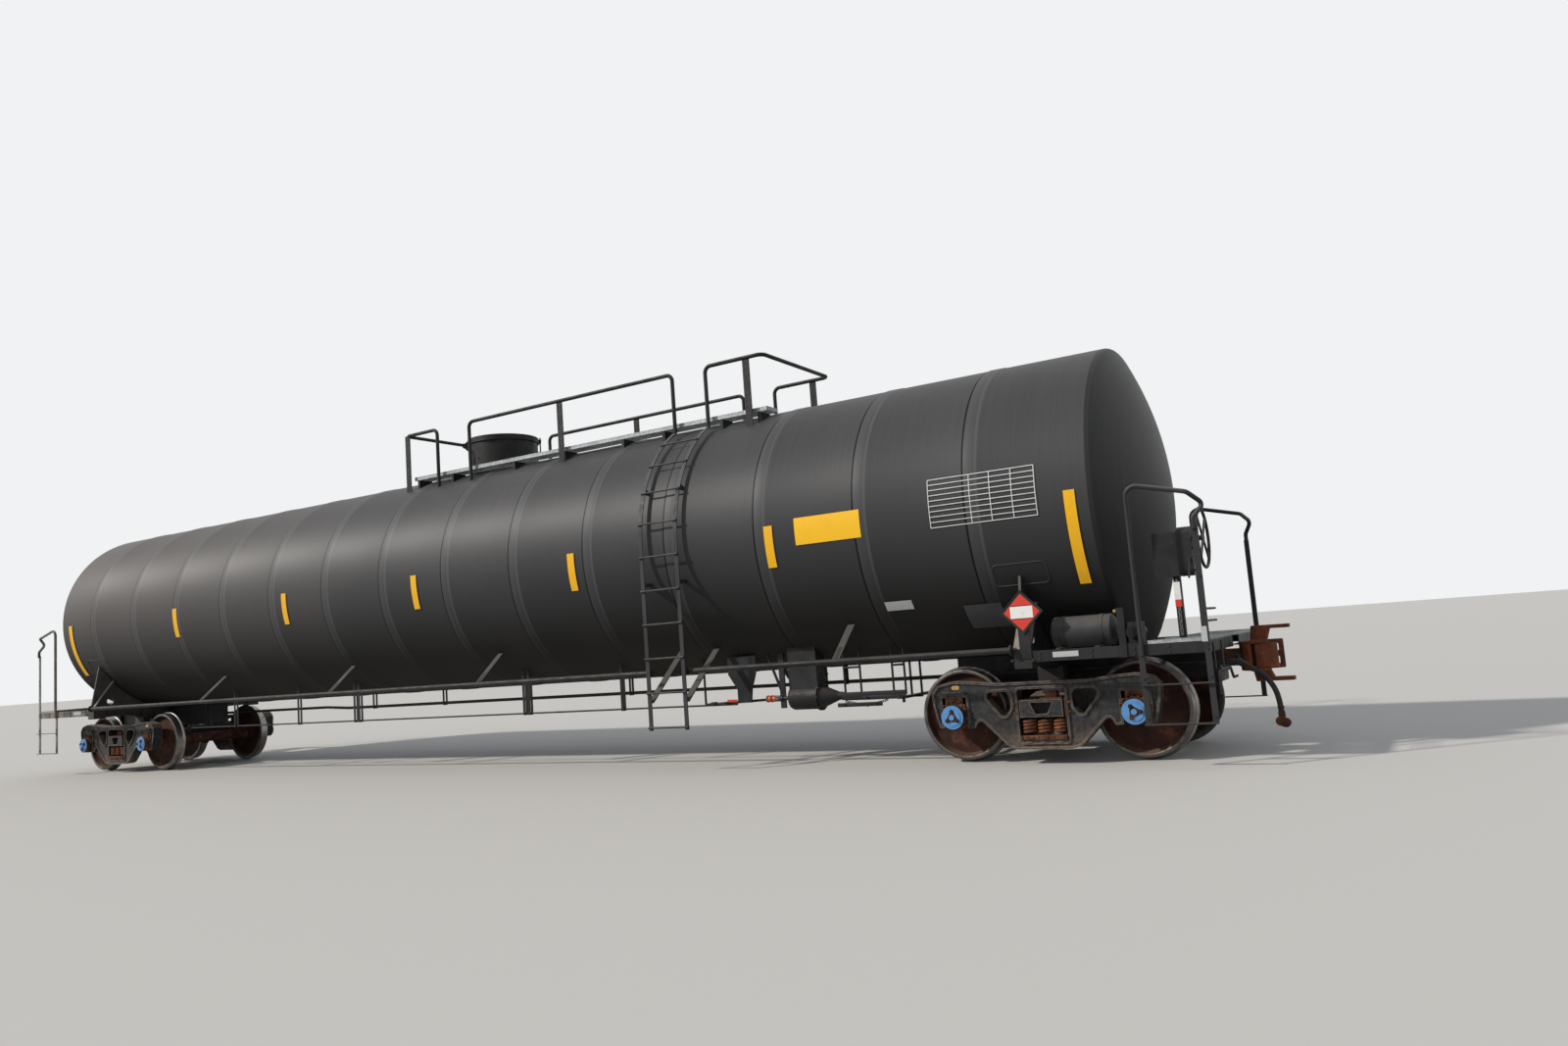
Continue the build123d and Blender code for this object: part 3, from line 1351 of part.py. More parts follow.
# Brake cylinder under the tank, on a deep bracket, with its push rod towards end A
with BuildPart() as brake_cylinder:
    with BuildSketch(Plane((0, cylinder_y, cylinder_height), x_dir=(1, 0, 0), z_dir=(0, -1, 0))):
        Polygon((push_rod_end, 0), (push_rod_end, collar_radius), (push_rod_end + collar_length, collar_radius),
                (push_rod_end + collar_length, push_rod_radius), (cylinder_start, push_rod_radius),
                (cylinder_start, cylinder_radius - 14), (cylinder_start + 30, cylinder_radius),
                (cylinder_end, cylinder_radius), (cylinder_end, cylinder_radius + 16),
                (cylinder_end + 26, cylinder_radius + 16), (cylinder_end + 26, cylinder_radius - 6),
                (cone_end, 46), (cone_end + 60, 40), (cone_end + 60, 0), align=None)
    revolve(axis=Axis((0, cylinder_y, cylinder_height), (1, 0, 0)))
    with Locations(((cylinder_start + cylinder_end) / 2 + 20, cylinder_y, cylinder_height + 60)):
        Box(cylinder_length + 10, 190, hanger_height, align=(Align.CENTER, Align.CENTER, Align.MIN))
    with Locations((push_rod_end + collar_length, cylinder_y, cylinder_height - 110)):
        Box(70, 20, hanger_height + 100, align=(Align.CENTER, Align.CENTER, Align.MIN))
    add(saddle, mode=Mode.SUBTRACT)
write(brake_cylinder, "brake_cylinder")

# Brake rods under the tank, and the levers that carry the pull in to the middle of each truck
gear_lever_x = truck_x - lever_inset
inner_rod_stop = truck_x - inner_rod_inset
long_rod_stop = fulcrum_x - 120
# Each rod: start and stop along the car, and its place across it
rod_runs = ((-gear_lever_x, long_rod_stop, cylinder_y), (cone_end + 70, gear_lever_x, cylinder_y),
            (-inner_rod_stop, -gear_lever_x, -inner_rod_y), (gear_lever_x, inner_rod_stop, inner_rod_y))
with BuildPart() as brake_rods:
    for start, stop, y in rod_runs:
        with BuildSketch(Plane.YZ.offset(start)):
            with Locations((y, rigging_height)):
                Circle(rod_radius)
        extrude(amount=stop - start)
    for place, inner_y in ((-gear_lever_x, -inner_rod_y), (gear_lever_x, inner_rod_y)):
        with BuildSketch(Plane.XY.offset(rigging_height)):
            with Locations((place, (cylinder_y + inner_y) / 2)):
                SlotOverall(inner_y - cylinder_y + 200, 2 * lever_half, rotation=90)
        extrude(amount=lever_thickness / 2, both=True)
write(brake_rods, "brake_rods")


def strap_hanger(place, y, foot, half, wall, width):
    """A square-bottomed strap hung from the jacket, its inside foot at a height."""
    with BuildPart() as strap:
        with BuildSketch(Plane.YZ.offset(place)):
            with Locations((y, foot - wall)):
                Rectangle(2 * half, hanger_height, align=(Align.CENTER, Align.MIN))
            with Locations((y, foot)):
                Rectangle(2 * (half - wall), hanger_height, align=(Align.CENTER, Align.MIN), mode=Mode.SUBTRACT)
        extrude(amount=width / 2, both=True)
    return strap.part


def lever_guide(place):
    """A strap hanger turned along the car, round the lever that lies across it."""
    foot = rigging_height - lever_thickness / 2 - seat_gap
    with BuildPart() as guide:
        with BuildSketch(Plane((place, guide_y, foot), x_dir=(1, 0, 0), z_dir=(0, -1, 0))):
            with Locations((0, -guide_wall)):
                Rectangle(2 * guide_half, hanger_height, align=(Align.CENTER, Align.MIN))
            Rectangle(2 * (guide_half - guide_wall), hanger_height, align=(Align.CENTER, Align.MIN),
                      mode=Mode.SUBTRACT)
        extrude(amount=guide_width / 2, both=True)
    return guide.part


def fulcrum_bracket():
    """The dead lever's bracket: a plate that widens up to the jacket, with a stiffener across it."""
    spread = fulcrum_half + fulcrum_spread
    with BuildPart() as bracket:
        with BuildSketch(Plane((fulcrum_x, cylinder_y, cylinder_height), x_dir=(1, 0, 0), z_dir=(0, -1, 0))):
            Polygon((-fulcrum_half, 0), (fulcrum_half, 0), (spread, hanger_height), (-spread, hanger_height),
                    align=None)
        extrude(amount=fulcrum_thickness / 2, both=True)
        with Locations((fulcrum_x, cylinder_y, cylinder_height - 10)):
            Box(fulcrum_thickness, 90, hanger_height, align=(Align.CENTER, Align.CENTER, Align.MIN))
    return bracket.part


rod_hangers = [strap_hanger(place, cylinder_y, rigging_height - rod_radius - seat_gap, hanger_half,
                            hanger_wall, hanger_width) for place in hanger_places]
guides = [lever_guide(-gear_lever_x), lever_guide(gear_lever_x)]
fulcrum = fulcrum_bracket()
with BuildPart() as brake_brackets:
    add(rod_hangers)
    add(guides)
    add(fulcrum)
    add(saddle, mode=Mode.SUBTRACT)
write(brake_brackets, "brake_brackets")


# Train line: the air pipe from end to end, crossing under the tank, with an angle cock at each end
def angle_cock():
    """The cock at end B: body, mouth pointing out and down, stem and handle."""
    centre = (cock_x, -cock_y, train_height)
    slant = (cos(radians(hose_drop)), 0, -sin(radians(hose_drop)))
    with BuildPart() as cock:
        with BuildSketch(Plane(centre, z_dir=(-1, 0, 0))):
            Circle(cock_radius)
        extrude(amount=110)
        with Locations(centre):
            Sphere(cock_radius + 6)
            Cylinder(24, 60, align=(Align.CENTER, Align.CENTER, Align.MIN))
        with BuildSketch(Plane(centre, z_dir=slant)):
            Circle(cock_radius)
        extrude(amount=cock_reach)
        with Locations((cock_x - 60, -cock_y, train_height + 60)):
            Box(150, 22, 10, align=(Align.CENTER, Align.CENTER, Align.MIN))
    return cock.part


def pipe_run():
    """The pipe from cock to cock: it crosses over between the trucks, so both ends are alike when turned."""
    half = [(cock_x, -cock_y), (tank_half + 600, -cock_y), (coupler_pivot, -train_y)]
    crossing = [(-train_cross, -train_y), (-train_cross - train_cross_length, train_y)]
    route = half + crossing + [(-x, -y) for x, y in reversed(half)]
    return swept_tube([(x, y, train_height) for x, y in route], [train_bend] * 6, train_radius)


pipe = pipe_run()
cock = angle_cock()
line_hangers = [strap_hanger(place, -train_y, train_height - train_radius - seat_gap, train_radius + 11, 8, 30)
                for place in train_hangers]
line_straps = saddled(*line_hangers)
with BuildPart() as train_line:
    add(pipe)
    add([cock, turned_to(cock, -1)])
    add(line_straps)
write(train_line, "train_line")

# Hand brake: wheel and gear case on a stand over the crossing board at end B
wheel_x = tank_half + brake_wheel_inset
wheel_y = -(side_reach - brake_wheel_y)
gear_case_x = tank_half + gear_case_inset
post_x = tank_half + brake_post_inset
post_top = gear_case_middle - gear_case_height / 2 + 55
with BuildPart() as hand_brake:
    with Locations((post_x, wheel_y + 60, board_top)):
        Box(60, 60, post_top - board_top, align=(Align.CENTER, Align.CENTER, Align.MIN))
    with Locations((post_x, wheel_y - 40, post_top - 50)):
        Box(330, 14, 400, align=(Align.CENTER, Align.CENTER, Align.MIN))
    with Locations((post_x, wheel_y + 30, post_top - 50)):
        Box(60, 150, 100, align=(Align.CENTER, Align.CENTER, Align.MIN))
    with BuildSketch(Plane((gear_case_x, wheel_y, gear_case_middle), x_dir=(0, 1, 0), z_dir=(1, 0, 0))):
        RectangleRounded(gear_case_width, gear_case_height, 60)
    extrude(amount=gear_case_depth)
    wheel_plane = Plane((wheel_x, wheel_y, brake_wheel_height), x_dir=(0, 1, 0), z_dir=(1, 0, 0))
    with BuildSketch(wheel_plane):
        Circle(24)
    extrude(amount=gear_case_x - wheel_x)
    # Round rim, four spokes and hub
    with BuildSketch(Plane((wheel_x, wheel_y, brake_wheel_height), x_dir=(1, 0, 0), z_dir=(0, -1, 0))):
        with Locations((0, brake_wheel_radius)):
            Circle(brake_rim_radius)
    revolve(axis=Axis((0, wheel_y, brake_wheel_height), (1, 0, 0)))
    with BuildSketch(wheel_plane):
        with PolarLocations(brake_wheel_radius / 2, 4, start_angle=45):
            Rectangle(brake_wheel_radius, spoke_width)
        Circle(52)
    extrude(amount=8, both=True)
write(hand_brake, "hand_brake")


# Placard holders: a diamond plate with a raised rim, on a short post over the jacking pad
def placard_holder():
    """The holder at end B on the -y side."""
    place = truck_x + placard_offset
    back = -(side_reach + seat_gap + bracket_thickness)
    with BuildPart() as holder:
        with BuildSketch(Plane((place, back, placard_height), x_dir=(1, 0, 0), z_dir=(0, -1, 0))):
            RegularPolygon(placard_half, 4)
        extrude(amount=placard_thickness)
        with BuildSketch(Plane((place, back - placard_thickness, placard_height), x_dir=(1, 0, 0),
                               z_dir=(0, -1, 0))):
            RegularPolygon(placard_half, 4)
            RegularPolygon(placard_half - placard_border, 4, mode=Mode.SUBTRACT)
        extrude(amount=5)
        with Locations((place, back, bracket_foot)):
            Box(bracket_width, bracket_thickness, placard_height - bracket_foot,
                align=(Align.CENTER, Align.MIN, Align.MIN))
    return holder.part


holder = placard_holder()
with BuildPart() as placard_holders:
    add([holder, turned_to(holder, -1)])
write(placard_holders, "placard_holders")


# Air hoses: each a run of rubber from the cock's mouth, bending down to its coupling
def hose_corners():
    """Ends and corners of the hose at end B, from the cock's mouth down."""
    corners = [(cock_x + cock_reach * cos(radians(hose_drop)), -cock_y,
                train_height - cock_reach * sin(radians(hose_drop)))]
    for length, angle in hose_runs:
        x, y, z = corners[-1]
        corners.append((x + length * cos(radians(angle)), y, z + length * sin(radians(angle))))
    return corners


def bend_radii(points):
    """Largest arcs that fit: 0.45 of the shorter run over the tangent of half the turn."""
    radii = []
    for before, corner, after in zip(points, points[1:], points[2:]):
        first = Vector(corner) - Vector(before)
        second = Vector(after) - Vector(corner)
        half_turn = radians(first.get_angle(second)) / 2
        radii.append(0.45 * min(first.length, second.length) / tan(half_turn))
    return radii


def gladhand():
    """Coupling head on the hose's lower end, its mouth facing the car's middle line."""
    along = (Vector(corners[-1]) - Vector(corners[-2])).normalized()
    x, y, z = corners[-1]
    with BuildPart() as coupling:
        with BuildSketch(Plane(corners[-1], z_dir=along)):
            Circle(30)
        extrude(amount=60)
        with BuildSketch(Plane((x + 12, y - 22, z - 92), x_dir=(1, 0, 0), z_dir=(0, 1, 0))):
            SlotOverall(130, 84, rotation=20)
        extrude(amount=-44)
    return coupling.part


corners = hose_corners()
hose_bends = bend_radii(corners)
print("hose bend radii", [round(radius) for radius in hose_bends])
rubber = swept_tube(corners, hose_bends, hose_radius)
print("hose length", round(rubber.volume / (pi * hose_radius**2)))
fitting = gladhand()
for name, end in ends:
    with BuildPart() as hose:
        add(turned_to(rubber, end))
    write(hose, f"air_hose_{name}")
    with BuildPart() as coupling:
        add(turned_to(fitting, end))
    write(coupling, f"gladhand_{name}")
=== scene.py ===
from math import asin, atan2, cos, degrees, pi, radians, sin, sqrt

import bmesh
import bpy
from mathutils import Matrix, Vector


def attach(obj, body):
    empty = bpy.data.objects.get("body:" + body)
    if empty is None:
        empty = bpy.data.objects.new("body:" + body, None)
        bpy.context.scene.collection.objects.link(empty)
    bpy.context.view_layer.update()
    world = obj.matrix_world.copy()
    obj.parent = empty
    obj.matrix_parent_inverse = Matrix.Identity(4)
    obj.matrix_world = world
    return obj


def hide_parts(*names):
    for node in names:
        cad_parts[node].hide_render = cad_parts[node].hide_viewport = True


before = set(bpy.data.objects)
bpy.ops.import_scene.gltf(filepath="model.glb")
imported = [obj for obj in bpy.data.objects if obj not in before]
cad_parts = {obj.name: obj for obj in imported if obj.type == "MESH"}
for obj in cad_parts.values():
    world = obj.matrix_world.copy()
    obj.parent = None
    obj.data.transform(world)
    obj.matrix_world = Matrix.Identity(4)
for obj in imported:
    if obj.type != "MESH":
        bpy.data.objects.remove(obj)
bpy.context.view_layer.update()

# A black pressure tank car. Everything is in metres, with +X towards the hand brake end.
# The near side, which the camera sees, is the -y side.

rail = 0.0254                   # rail top, above the lowest point of the flanges
truck_x = 8.077
wheelbase = 1.778
axle_height = rail + 0.457
tank_radius = 1.538
tank_axis = rail + 2.539
tank_half = 8.850
first_seam = 7.66
seam_pitch = 1.202
seam_count = 14
lap_width = 0.13
lap_height = 0.007
ends = (("a", -1), ("b", 1))


# Camera, as solved from the photograph
frame_px = 1600                 # width of the photograph's frame
lens_px = 1119.24               # focal length in pixels of that frame
sensor_mm = 36.0
camera_place = Vector((11.472, -11.452, rail + 1.298))
camera_yaw, camera_pitch, camera_roll = radians(30.455), radians(6.311), radians(-4.256)


def placed(name, data):
    """A new object that holds the data, in the scene."""
    made = bpy.data.objects.new(name, data)
    bpy.context.scene.collection.objects.link(made)
    return made


def make_camera():
    ahead = Vector((-sin(camera_yaw) * cos(camera_pitch), cos(camera_yaw) * cos(camera_pitch), sin(camera_pitch)))
    level = ahead.cross(Vector((0, 0, 1))).normalized()
    upright = level.cross(ahead)
    right = cos(camera_roll) * level + sin(camera_roll) * upright
    up = cos(camera_roll) * upright - sin(camera_roll) * level
    camera = placed("camera", bpy.data.cameras.new("camera"))
    camera.matrix_world = Matrix.Translation(camera_place) @ Matrix((right, up, -ahead)).transposed().to_4x4()
    camera.data.sensor_width = sensor_mm
    camera.data.lens = lens_px / frame_px * sensor_mm
    camera.data.clip_end = 2000
    bpy.context.scene.camera = camera


make_camera()


# Materials: one function adds a node, and the rest build finishes as the real coats lie on each other
def linear(hex_colour):
    """An sRGB hex value as linear colour."""
    parts = [int(hex_colour[i:i + 2], 16) / 255 for i in (1, 3, 5)]
    return tuple(c / 12.92 if c <= 0.04045 else ((c + 0.055) / 1.055) ** 2.4 for c in parts) + (1.0,)


def add(tree, kind, inputs=None, **settings):
    """Adds a node with its settings, and sets or links its inputs."""
    made = tree.nodes.new("ShaderNode" + kind)
    for key, value in settings.items():
        setattr(made, key, value)
    for key, value in (inputs or {}).items():
        if isinstance(value, bpy.types.NodeSocket):
            tree.links.new(value, made.inputs[key])
        else:
            made.inputs[key].default_value = value
    return made


def noise(tree, size, detail, roughness=0.5, stretch=(1, 1, 1), seed=0.0):
    """Cloudy noise with forms about size metres across, fixed to the piece."""
    place = add(tree, "TexCoord").outputs["Object"]
    scaled = add(tree, "Mapping",
                 {"Vector": place, "Location": (seed, seed, seed), "Scale": [s / size for s in stretch]})
    return add(tree, "TexNoise", {"Vector": scaled.outputs[0], "Scale": 1.0, "Detail": detail,
                                  "Roughness": roughness}).outputs[0]


def fade(tree, value, low, high):
    """A soft mask: 0 while the value is short of low, 1 once it is past high."""
    return add(tree, "MapRange", {0: value, 1: low, 2: high}, interpolation_type="SMOOTHSTEP").outputs[0]


def patches(tree, size, low, high, stretch=(1, 1, 1), seed=0.0, detail=6.0):
    """A mask of soft patches about size metres across: 0 where the noise is below low, 1 above high."""
    return fade(tree, noise(tree, size, detail, 0.62, stretch, seed), low, high)


def grain(tree, size, depth, detail=4.0):
    """Bump from noise of that grain size, with its depth in metres."""
    height = noise(tree, size, detail)
    return add(tree, "Bump", {"Strength": 1.0, "Distance": depth, "Height": height}).outputs[0]


def facing_up(tree, low, high):
    """A mask of the faces that look upwards, where dust settles; on the cast frames it also carries a painted
    highlight.
    """
    normal = add(tree, "NewGeometry").outputs["Normal"]
    return fade(tree, add(tree, "SeparateXYZ", {0: normal}).outputs[2], low, high)


def between(tree, axis, low, high):
    """A mask along one of the piece's own axes: 0 at low and short of it, 1 at high and past it."""
    place = add(tree, "TexCoord").outputs["Object"]
    return fade(tree, add(tree, "SeparateXYZ", {0: place}).outputs[axis], low, high)


def worn_and_lit_edges(tree, radius):
    """A mask of the outer corners within that radius, where enamel rubs off and dust holds, and where a painted
    highlight is laid.
    """
    soft = add(tree, "Bevel", {"Radius": radius}, samples=6).outputs[0]
    flat = add(tree, "NewGeometry").outputs["Normal"]
    turn = add(tree, "VectorMath", {0: soft, 1: flat}, operation="DOT_PRODUCT").outputs["Value"]
    return fade(tree, turn, 0.99, 0.82)


def overlap(tree, *masks):
    """Where all the masks hold. A number among them thins the rest."""
    held = masks[0]
    for mask in masks[1:]:
        held = add(tree, "Math", {0: held, 1: mask}, operation="MULTIPLY").outputs[0]
    return held


def coats(tree, base, *layers):
    """Colours laid over a base in turn: each is a hex value, then the masks that all have to hold for it."""
    colour = linear(base)
    for over, *masks in layers:
        mask = overlap(tree, *masks)
        colour = add(tree, "Mix", {0: mask, 6: colour, 7: linear(over)}, data_type="RGBA").outputs[2]
    return colour


def run_between(tree, mask, start, stop):
    """A number that runs from start to stop as the mask goes from 0 to 1."""
    return add(tree, "MapRange", {0: mask, 3: start, 4: stop}).outputs[0]


def new_material(name):
    made = bpy.data.materials.new(name)
    made.use_nodes = True
    made.node_tree.nodes.clear()
    return made, made.node_tree


def finish_material(made, **sockets):
    """Joins the shader to the output; sockets are the shader's own, by name with spaces as underscores."""
    tree = made.node_tree
    shader = add(tree, "BsdfPrincipled", {k.replace("_", " "): v for k, v in sockets.items()})
    add(tree, "OutputMaterial", {"Surface": shader.outputs[0]})
    return made


def tank_enamel():
    # Satin black alkyd enamel on rolled sheet steel: painted light greys the upper barrel, with dust patches on it and
    # a paler brown-grey towards the far end, a painted sheen over each lap with a painted highlight at its edge,
    # painted shadow in each seam's groove and fine rolling marks round the barrel; near black as painted shade low
    # down and on the heads, with brown grime low down
    made, tree = new_material("satin_black_enamel_on_jacket")
    place = add(tree, "TexCoord").outputs["Object"]
    run = add(tree, "SeparateXYZ", {0: place}).outputs[0]
    reach = add(tree, "Math", {0: run}, operation="ABSOLUTE").outputs[0]
    barrel = add(tree, "MapRange", {0: reach, 1: tank_half + 0.06, 2: tank_half - 0.01}).outputs[0]
    past = add(tree, "Math", {0: run, 1: first_seam}, operation="SUBTRACT").outputs[0]
    past = add(tree, "Math", {0: past, 1: seam_pitch}, operation="FLOORED_MODULO").outputs[0]
    # lap and rim: a painted sheen over each lap and a painted highlight along the lap's edge, shown on the middle and
    # upper barrel
    lap = fade(tree, past, lap_width + 0.035, lap_width - 0.01)
    away = add(tree, "Math", {0: past, 1: lap_width + 0.005}, operation="SUBTRACT").outputs[0]
    away = add(tree, "Math", {0: away}, operation="ABSOLUTE").outputs[0]
    rim = fade(tree, away, 0.022, 0.004)
    # Painted shadow along each seam's groove, darkened nearly to black
    before = add(tree, "Math", {0: seam_pitch, 1: past}, operation="SUBTRACT").outputs[0]
    beside = add(tree, "Math", {0: past, 1: before}, operation="MINIMUM").outputs[0]
    groove_shade = add(tree, "MapRange", {0: beside, 1: 0.018, 2: 0.009}).outputs[0]
    # upper: the upper barrel, painted lighter as painted light; the heads and the barrel below it keep the near black
    # base as painted shade
    upper = between(tree, 2, tank_axis - 1.25, tank_axis + 0.55)
    shown = overlap(tree, barrel, between(tree, 2, tank_axis - 1.45, tank_axis - 0.2))
    dust = patches(tree, 3.4, 0.3, 0.8, seed=3.0)
    marks = patches(tree, 1.0, 0.35, 0.75, stretch=(45.0, 0.7, 0.7), seed=9.0, detail=3.0)
    grime = patches(tree, 0.8, 0.35, 0.75, stretch=(1.0, 0.4, 0.4), seed=21.0)
    # Coats: painted light on the upper barrel over a painted-shade base, dust, rolling marks, the far end's grey, the
    # painted lap sheen and edge highlight, painted groove shadow, grime and pale specks
    colour = coats(tree, "#1a1a1a", ("#3a3a3c", upper, barrel), ("#4b4a4a", dust, upper, barrel, 0.5),
                   ("#2b2b2c", marks, upper, 0.30), ("#625c58", between(tree, 0, 1.0, -9.0), upper, 0.5),
                   ("#66676a", lap, shown, 0.11), ("#7c7d80", rim, shown, 0.16), ("#111111", groove_shade, barrel, 0.9),
                   ("#2a211b", grime, between(tree, 2, 1.9, 1.2), 0.6),
                   ("#7d7974", patches(tree, 0.045, 0.745, 0.80, seed=5.0), 0.45))
    return finish_material(made, Base_Color=colour, Roughness=run_between(tree, upper, 0.75, 0.5),
                           Specular_IOR_Level=0.22, IOR=1.5, Normal=grain(tree, 1.1, 0.0015, detail=2.0))


def black_enamel(name, base, dust_colour="#5c554d", dust_amount=0.5, dust_from=0.1, far_dust=0.0, rust_amount=0.5):
    # Brushed-on black enamel over welded steel: dull, dusty on top, rust breaking through in small spots
    made, tree = new_material(name)
    dust = patches(tree, 0.35, 0.1, 0.6, seed=2.0)
    layers = [("#29292b", patches(tree, 0.5, 0.35, 0.7)),
              (dust_colour, dust, facing_up(tree, dust_from, 0.9), dust_amount)]
    if far_dust:
        layers += [(dust_colour, between(tree, 0, -7.8, -8.4), patches(tree, 0.16, 0.2, 0.65, seed=12.0), far_dust)]
    colour = coats(tree, base, *layers, ("#5a3522", patches(tree, 0.06, 0.62, 0.7, seed=4.0, detail=8.0), rust_amount))
    rough = run_between(tree, patches(tree, 0.12, 0.3, 0.7), 0.45, 0.68)
    return finish_material(made, Base_Color=colour, Roughness=rough, Specular_IOR_Level=0.25, IOR=1.5,
                           Normal=grain(tree, 0.02, 0.0006))


def enamel_on_casting():
    # Old black enamel on sand-cast steel: a coarse grain, brown dust in patches and on top, corners worn pale; the
    # pale corners and top also carry a painted highlight
    made, tree = new_material("old_black_enamel_on_cast_steel")
    low_down = between(tree, 2, rail + 0.36, rail + 0.17)
    colour = coats(tree, "#131314", ("#29292b", patches(tree, 0.05, 0.4, 0.62, detail=8.0)),
                   ("#463c34", patches(tree, 0.13, 0.5, 0.74, seed=5.0, detail=9.0), 0.6),
                   ("#65564a", low_down, patches(tree, 0.06, 0.3, 0.6, seed=2.0), 0.7),
                   # Pale corners and pale top faces: worn enamel and dust, and also a painted highlight
                   ("#8d8073", worn_and_lit_edges(tree, 0.014), patches(tree, 0.08, 0.3, 0.6, seed=8.0)),
                   ("#7d6f60", facing_up(tree, 0.2, 0.9), 0.7))
    rough = run_between(tree, patches(tree, 0.06, 0.3, 0.7), 0.5, 0.75)
    return finish_material(made, Base_Color=colour, Roughness=rough, Specular_IOR_Level=0.4, IOR=1.5,
                           Normal=grain(tree, 0.03, 0.0035, detail=6.0))


def rusted_casting(name, base="#5b3826", pale="#8a5d3f", dark="#2e1f18", depth=0.0012, size=0.09):
    # Cast steel left bare outdoors: brown rust with paler bloom, dark in its hollows, a sand-cast grain
    made, tree = new_material(name)
    colour = coats(tree, base, (dark, patches(tree, size * 2.5, 0.35, 0.65, seed=1.0)),
                   (pale, patches(tree, size, 0.5, 0.75, seed=6.0, detail=9.0), 0.8),
                   ("#9c8267", facing_up(tree, 0.4, 1.0), 0.25))
    return finish_material(made, Base_Color=colour, Roughness=0.86, Specular_IOR_Level=0.25, IOR=1.5,
                           Normal=grain(tree, 0.012, depth, detail=6.0))


def galvanised_steel():
    # Hot-dip galvanised grating: pale grey with dull spangle, darkened by grime
    made, tree = new_material("hot_dip_galvanised_steel")
    colour = coats(tree, "#8b9092", ("#a4a8a8", patches(tree, 0.03, 0.4, 0.6, detail=2.0)),
                   ("#57544f", patches(tree, 0.4, 0.4, 0.8, seed=3.0), 0.6))
    return finish_material(made, Base_Color=colour, Metallic=0.55, Roughness=0.55, Normal=grain(tree, 0.02, 0.0004))


def plain_enamel(name, base, worn, amount, roughness=0.45, size=0.08):
    # Brush or sheet colour with light wear and road dirt over it
    made, tree = new_material(name)
    colour = coats(tree, base, (worn, patches(tree, size, 0.5, 0.85, seed=8.0, detail=8.0), amount))
    return finish_material(made, Base_Color=colour, Roughness=roughness, Specular_IOR_Level=0.45, IOR=1.5,
                           Normal=grain(tree, 0.03, 0.0004))


def bare_steel(name, base, rust, amount, roughness):
    # Machined or rolled steel kept bright by wear, with rust where nothing rubs
    made, tree = new_material(name)
    rusty = overlap(tree, patches(tree, 0.07, 0.45, 0.7, seed=2.0, detail=8.0), amount)
    colour = coats(tree, base, (rust, rusty))
    return finish_material(made, Base_Color=colour, Metallic=run_between(tree, rusty, 1.0, 0.1),
                           Roughness=run_between(tree, rusty, roughness, 0.8), Normal=grain(tree, 0.01, 0.0003))


def hose_rubber():
    # Extruded nitrile brake hose: dull black with a fine cloth print and pale dust
    made, tree = new_material("extruded_nitrile_rubber")
    colour = coats(tree, "#1b1b1c", ("#4b4742", patches(tree, 0.08, 0.4, 0.8), 0.5))
    return finish_material(made, Base_Color=colour, Roughness=0.75, Specular_IOR_Level=0.35, IOR=1.52,
                           Normal=grain(tree, 0.004, 0.0004))


jacket_finish = tank_enamel()
frame_black = black_enamel("satin_black_enamel", "#131314", dust_amount=0.35)
bolster_black = black_enamel("dusty_black_enamel_on_bolsters", "#171718", "#a39b8f", dust_amount=0.9,
                             dust_from=-0.1, far_dust=0.3)
end_black = black_enamel("dusty_black_enamel_on_end_frames", "#171718", "#8d867c", dust_amount=0.4, far_dust=0.75)
step_grey = black_enamel("dusty_grey_enamel_on_steps", "#2b2c2d", "#8d867c", dust_amount=0.4, far_dust=0.75)
truck_black = enamel_on_casting()
ladder_grey = black_enamel("weathered_grey_enamel", "#343536", "#6f6b65", rust_amount=0.3)
rust_brown = rusted_casting("bare_cast_steel_rusted")
rust_coil = rusted_casting("rusted_spring_steel", "#6b3f28", "#a0653f", "#3a2218", size=0.05)
rust_orange = rusted_casting("rusted_coupler_steel", "#6e3d26", "#97583a", "#3d241a", size=0.12)
wheel_rust = rusted_casting("rolled_wheel_steel_rusted", "#41271e", "#6b4231", "#271814", depth=0.0008, size=0.16)
tread_bright = bare_steel("wheel_tread_worn_bright", "#8a8682", "#54463c", 0.45, 0.32)
rim_face = bare_steel("rim_face_steel", "#5f5c59", "#453a34", 0.9, 0.5)
galvanised = galvanised_steel()
blue_enamel = plain_enamel("light_blue_enamel", "#4f88bd", "#4a3f36", 0.5)
yellow_sheet = plain_enamel("yellow_reflective_sheet", "#eaae04", "#7a5a20", 0.2, roughness=0.4)
yellow_panel = plain_enamel("yellow_vinyl_panel", "#f0b80e", "#8a6a2a", 0.15, roughness=0.4, size=0.2)
white_paint = plain_enamel("white_stencil_enamel", "#c9cac8", "#54544f", 0.6, roughness=0.5)
pale_plate = plain_enamel("pale_anodised_plate", "#a9adab", "#5a5a52", 0.4)
red_enamel = plain_enamel("red_card_enamel", "#c8321f", "#6a2a1c", 0.25)
orange_enamel = plain_enamel("orange_band_enamel", "#c94a20", "#5a3020", 0.4)
mark_yellow = plain_enamel("faded_yellow_paint_mark", "#b08a48", "#3a322b", 0.8, size=0.03)
grip_black = plain_enamel("satin_black_powder_coat", "#161617", "#4a453f", 0.35, roughness=0.5)
blank_white = plain_enamel("white_reflective_sheet", "#dcdcd8", "#8b8780", 0.3, roughness=0.5)
galvanised_chain = bare_steel("galvanised_chain_steel", "#8f918f", "#5c4636", 0.7, 0.5)
weld_metal = plain_enamel("weld_bead_under_enamel", "#3a3a3b", "#232223", 0.6)
faded_plate = plain_enamel("faded_dark_plate", "#3b3b3f", "#242426", 0.7)
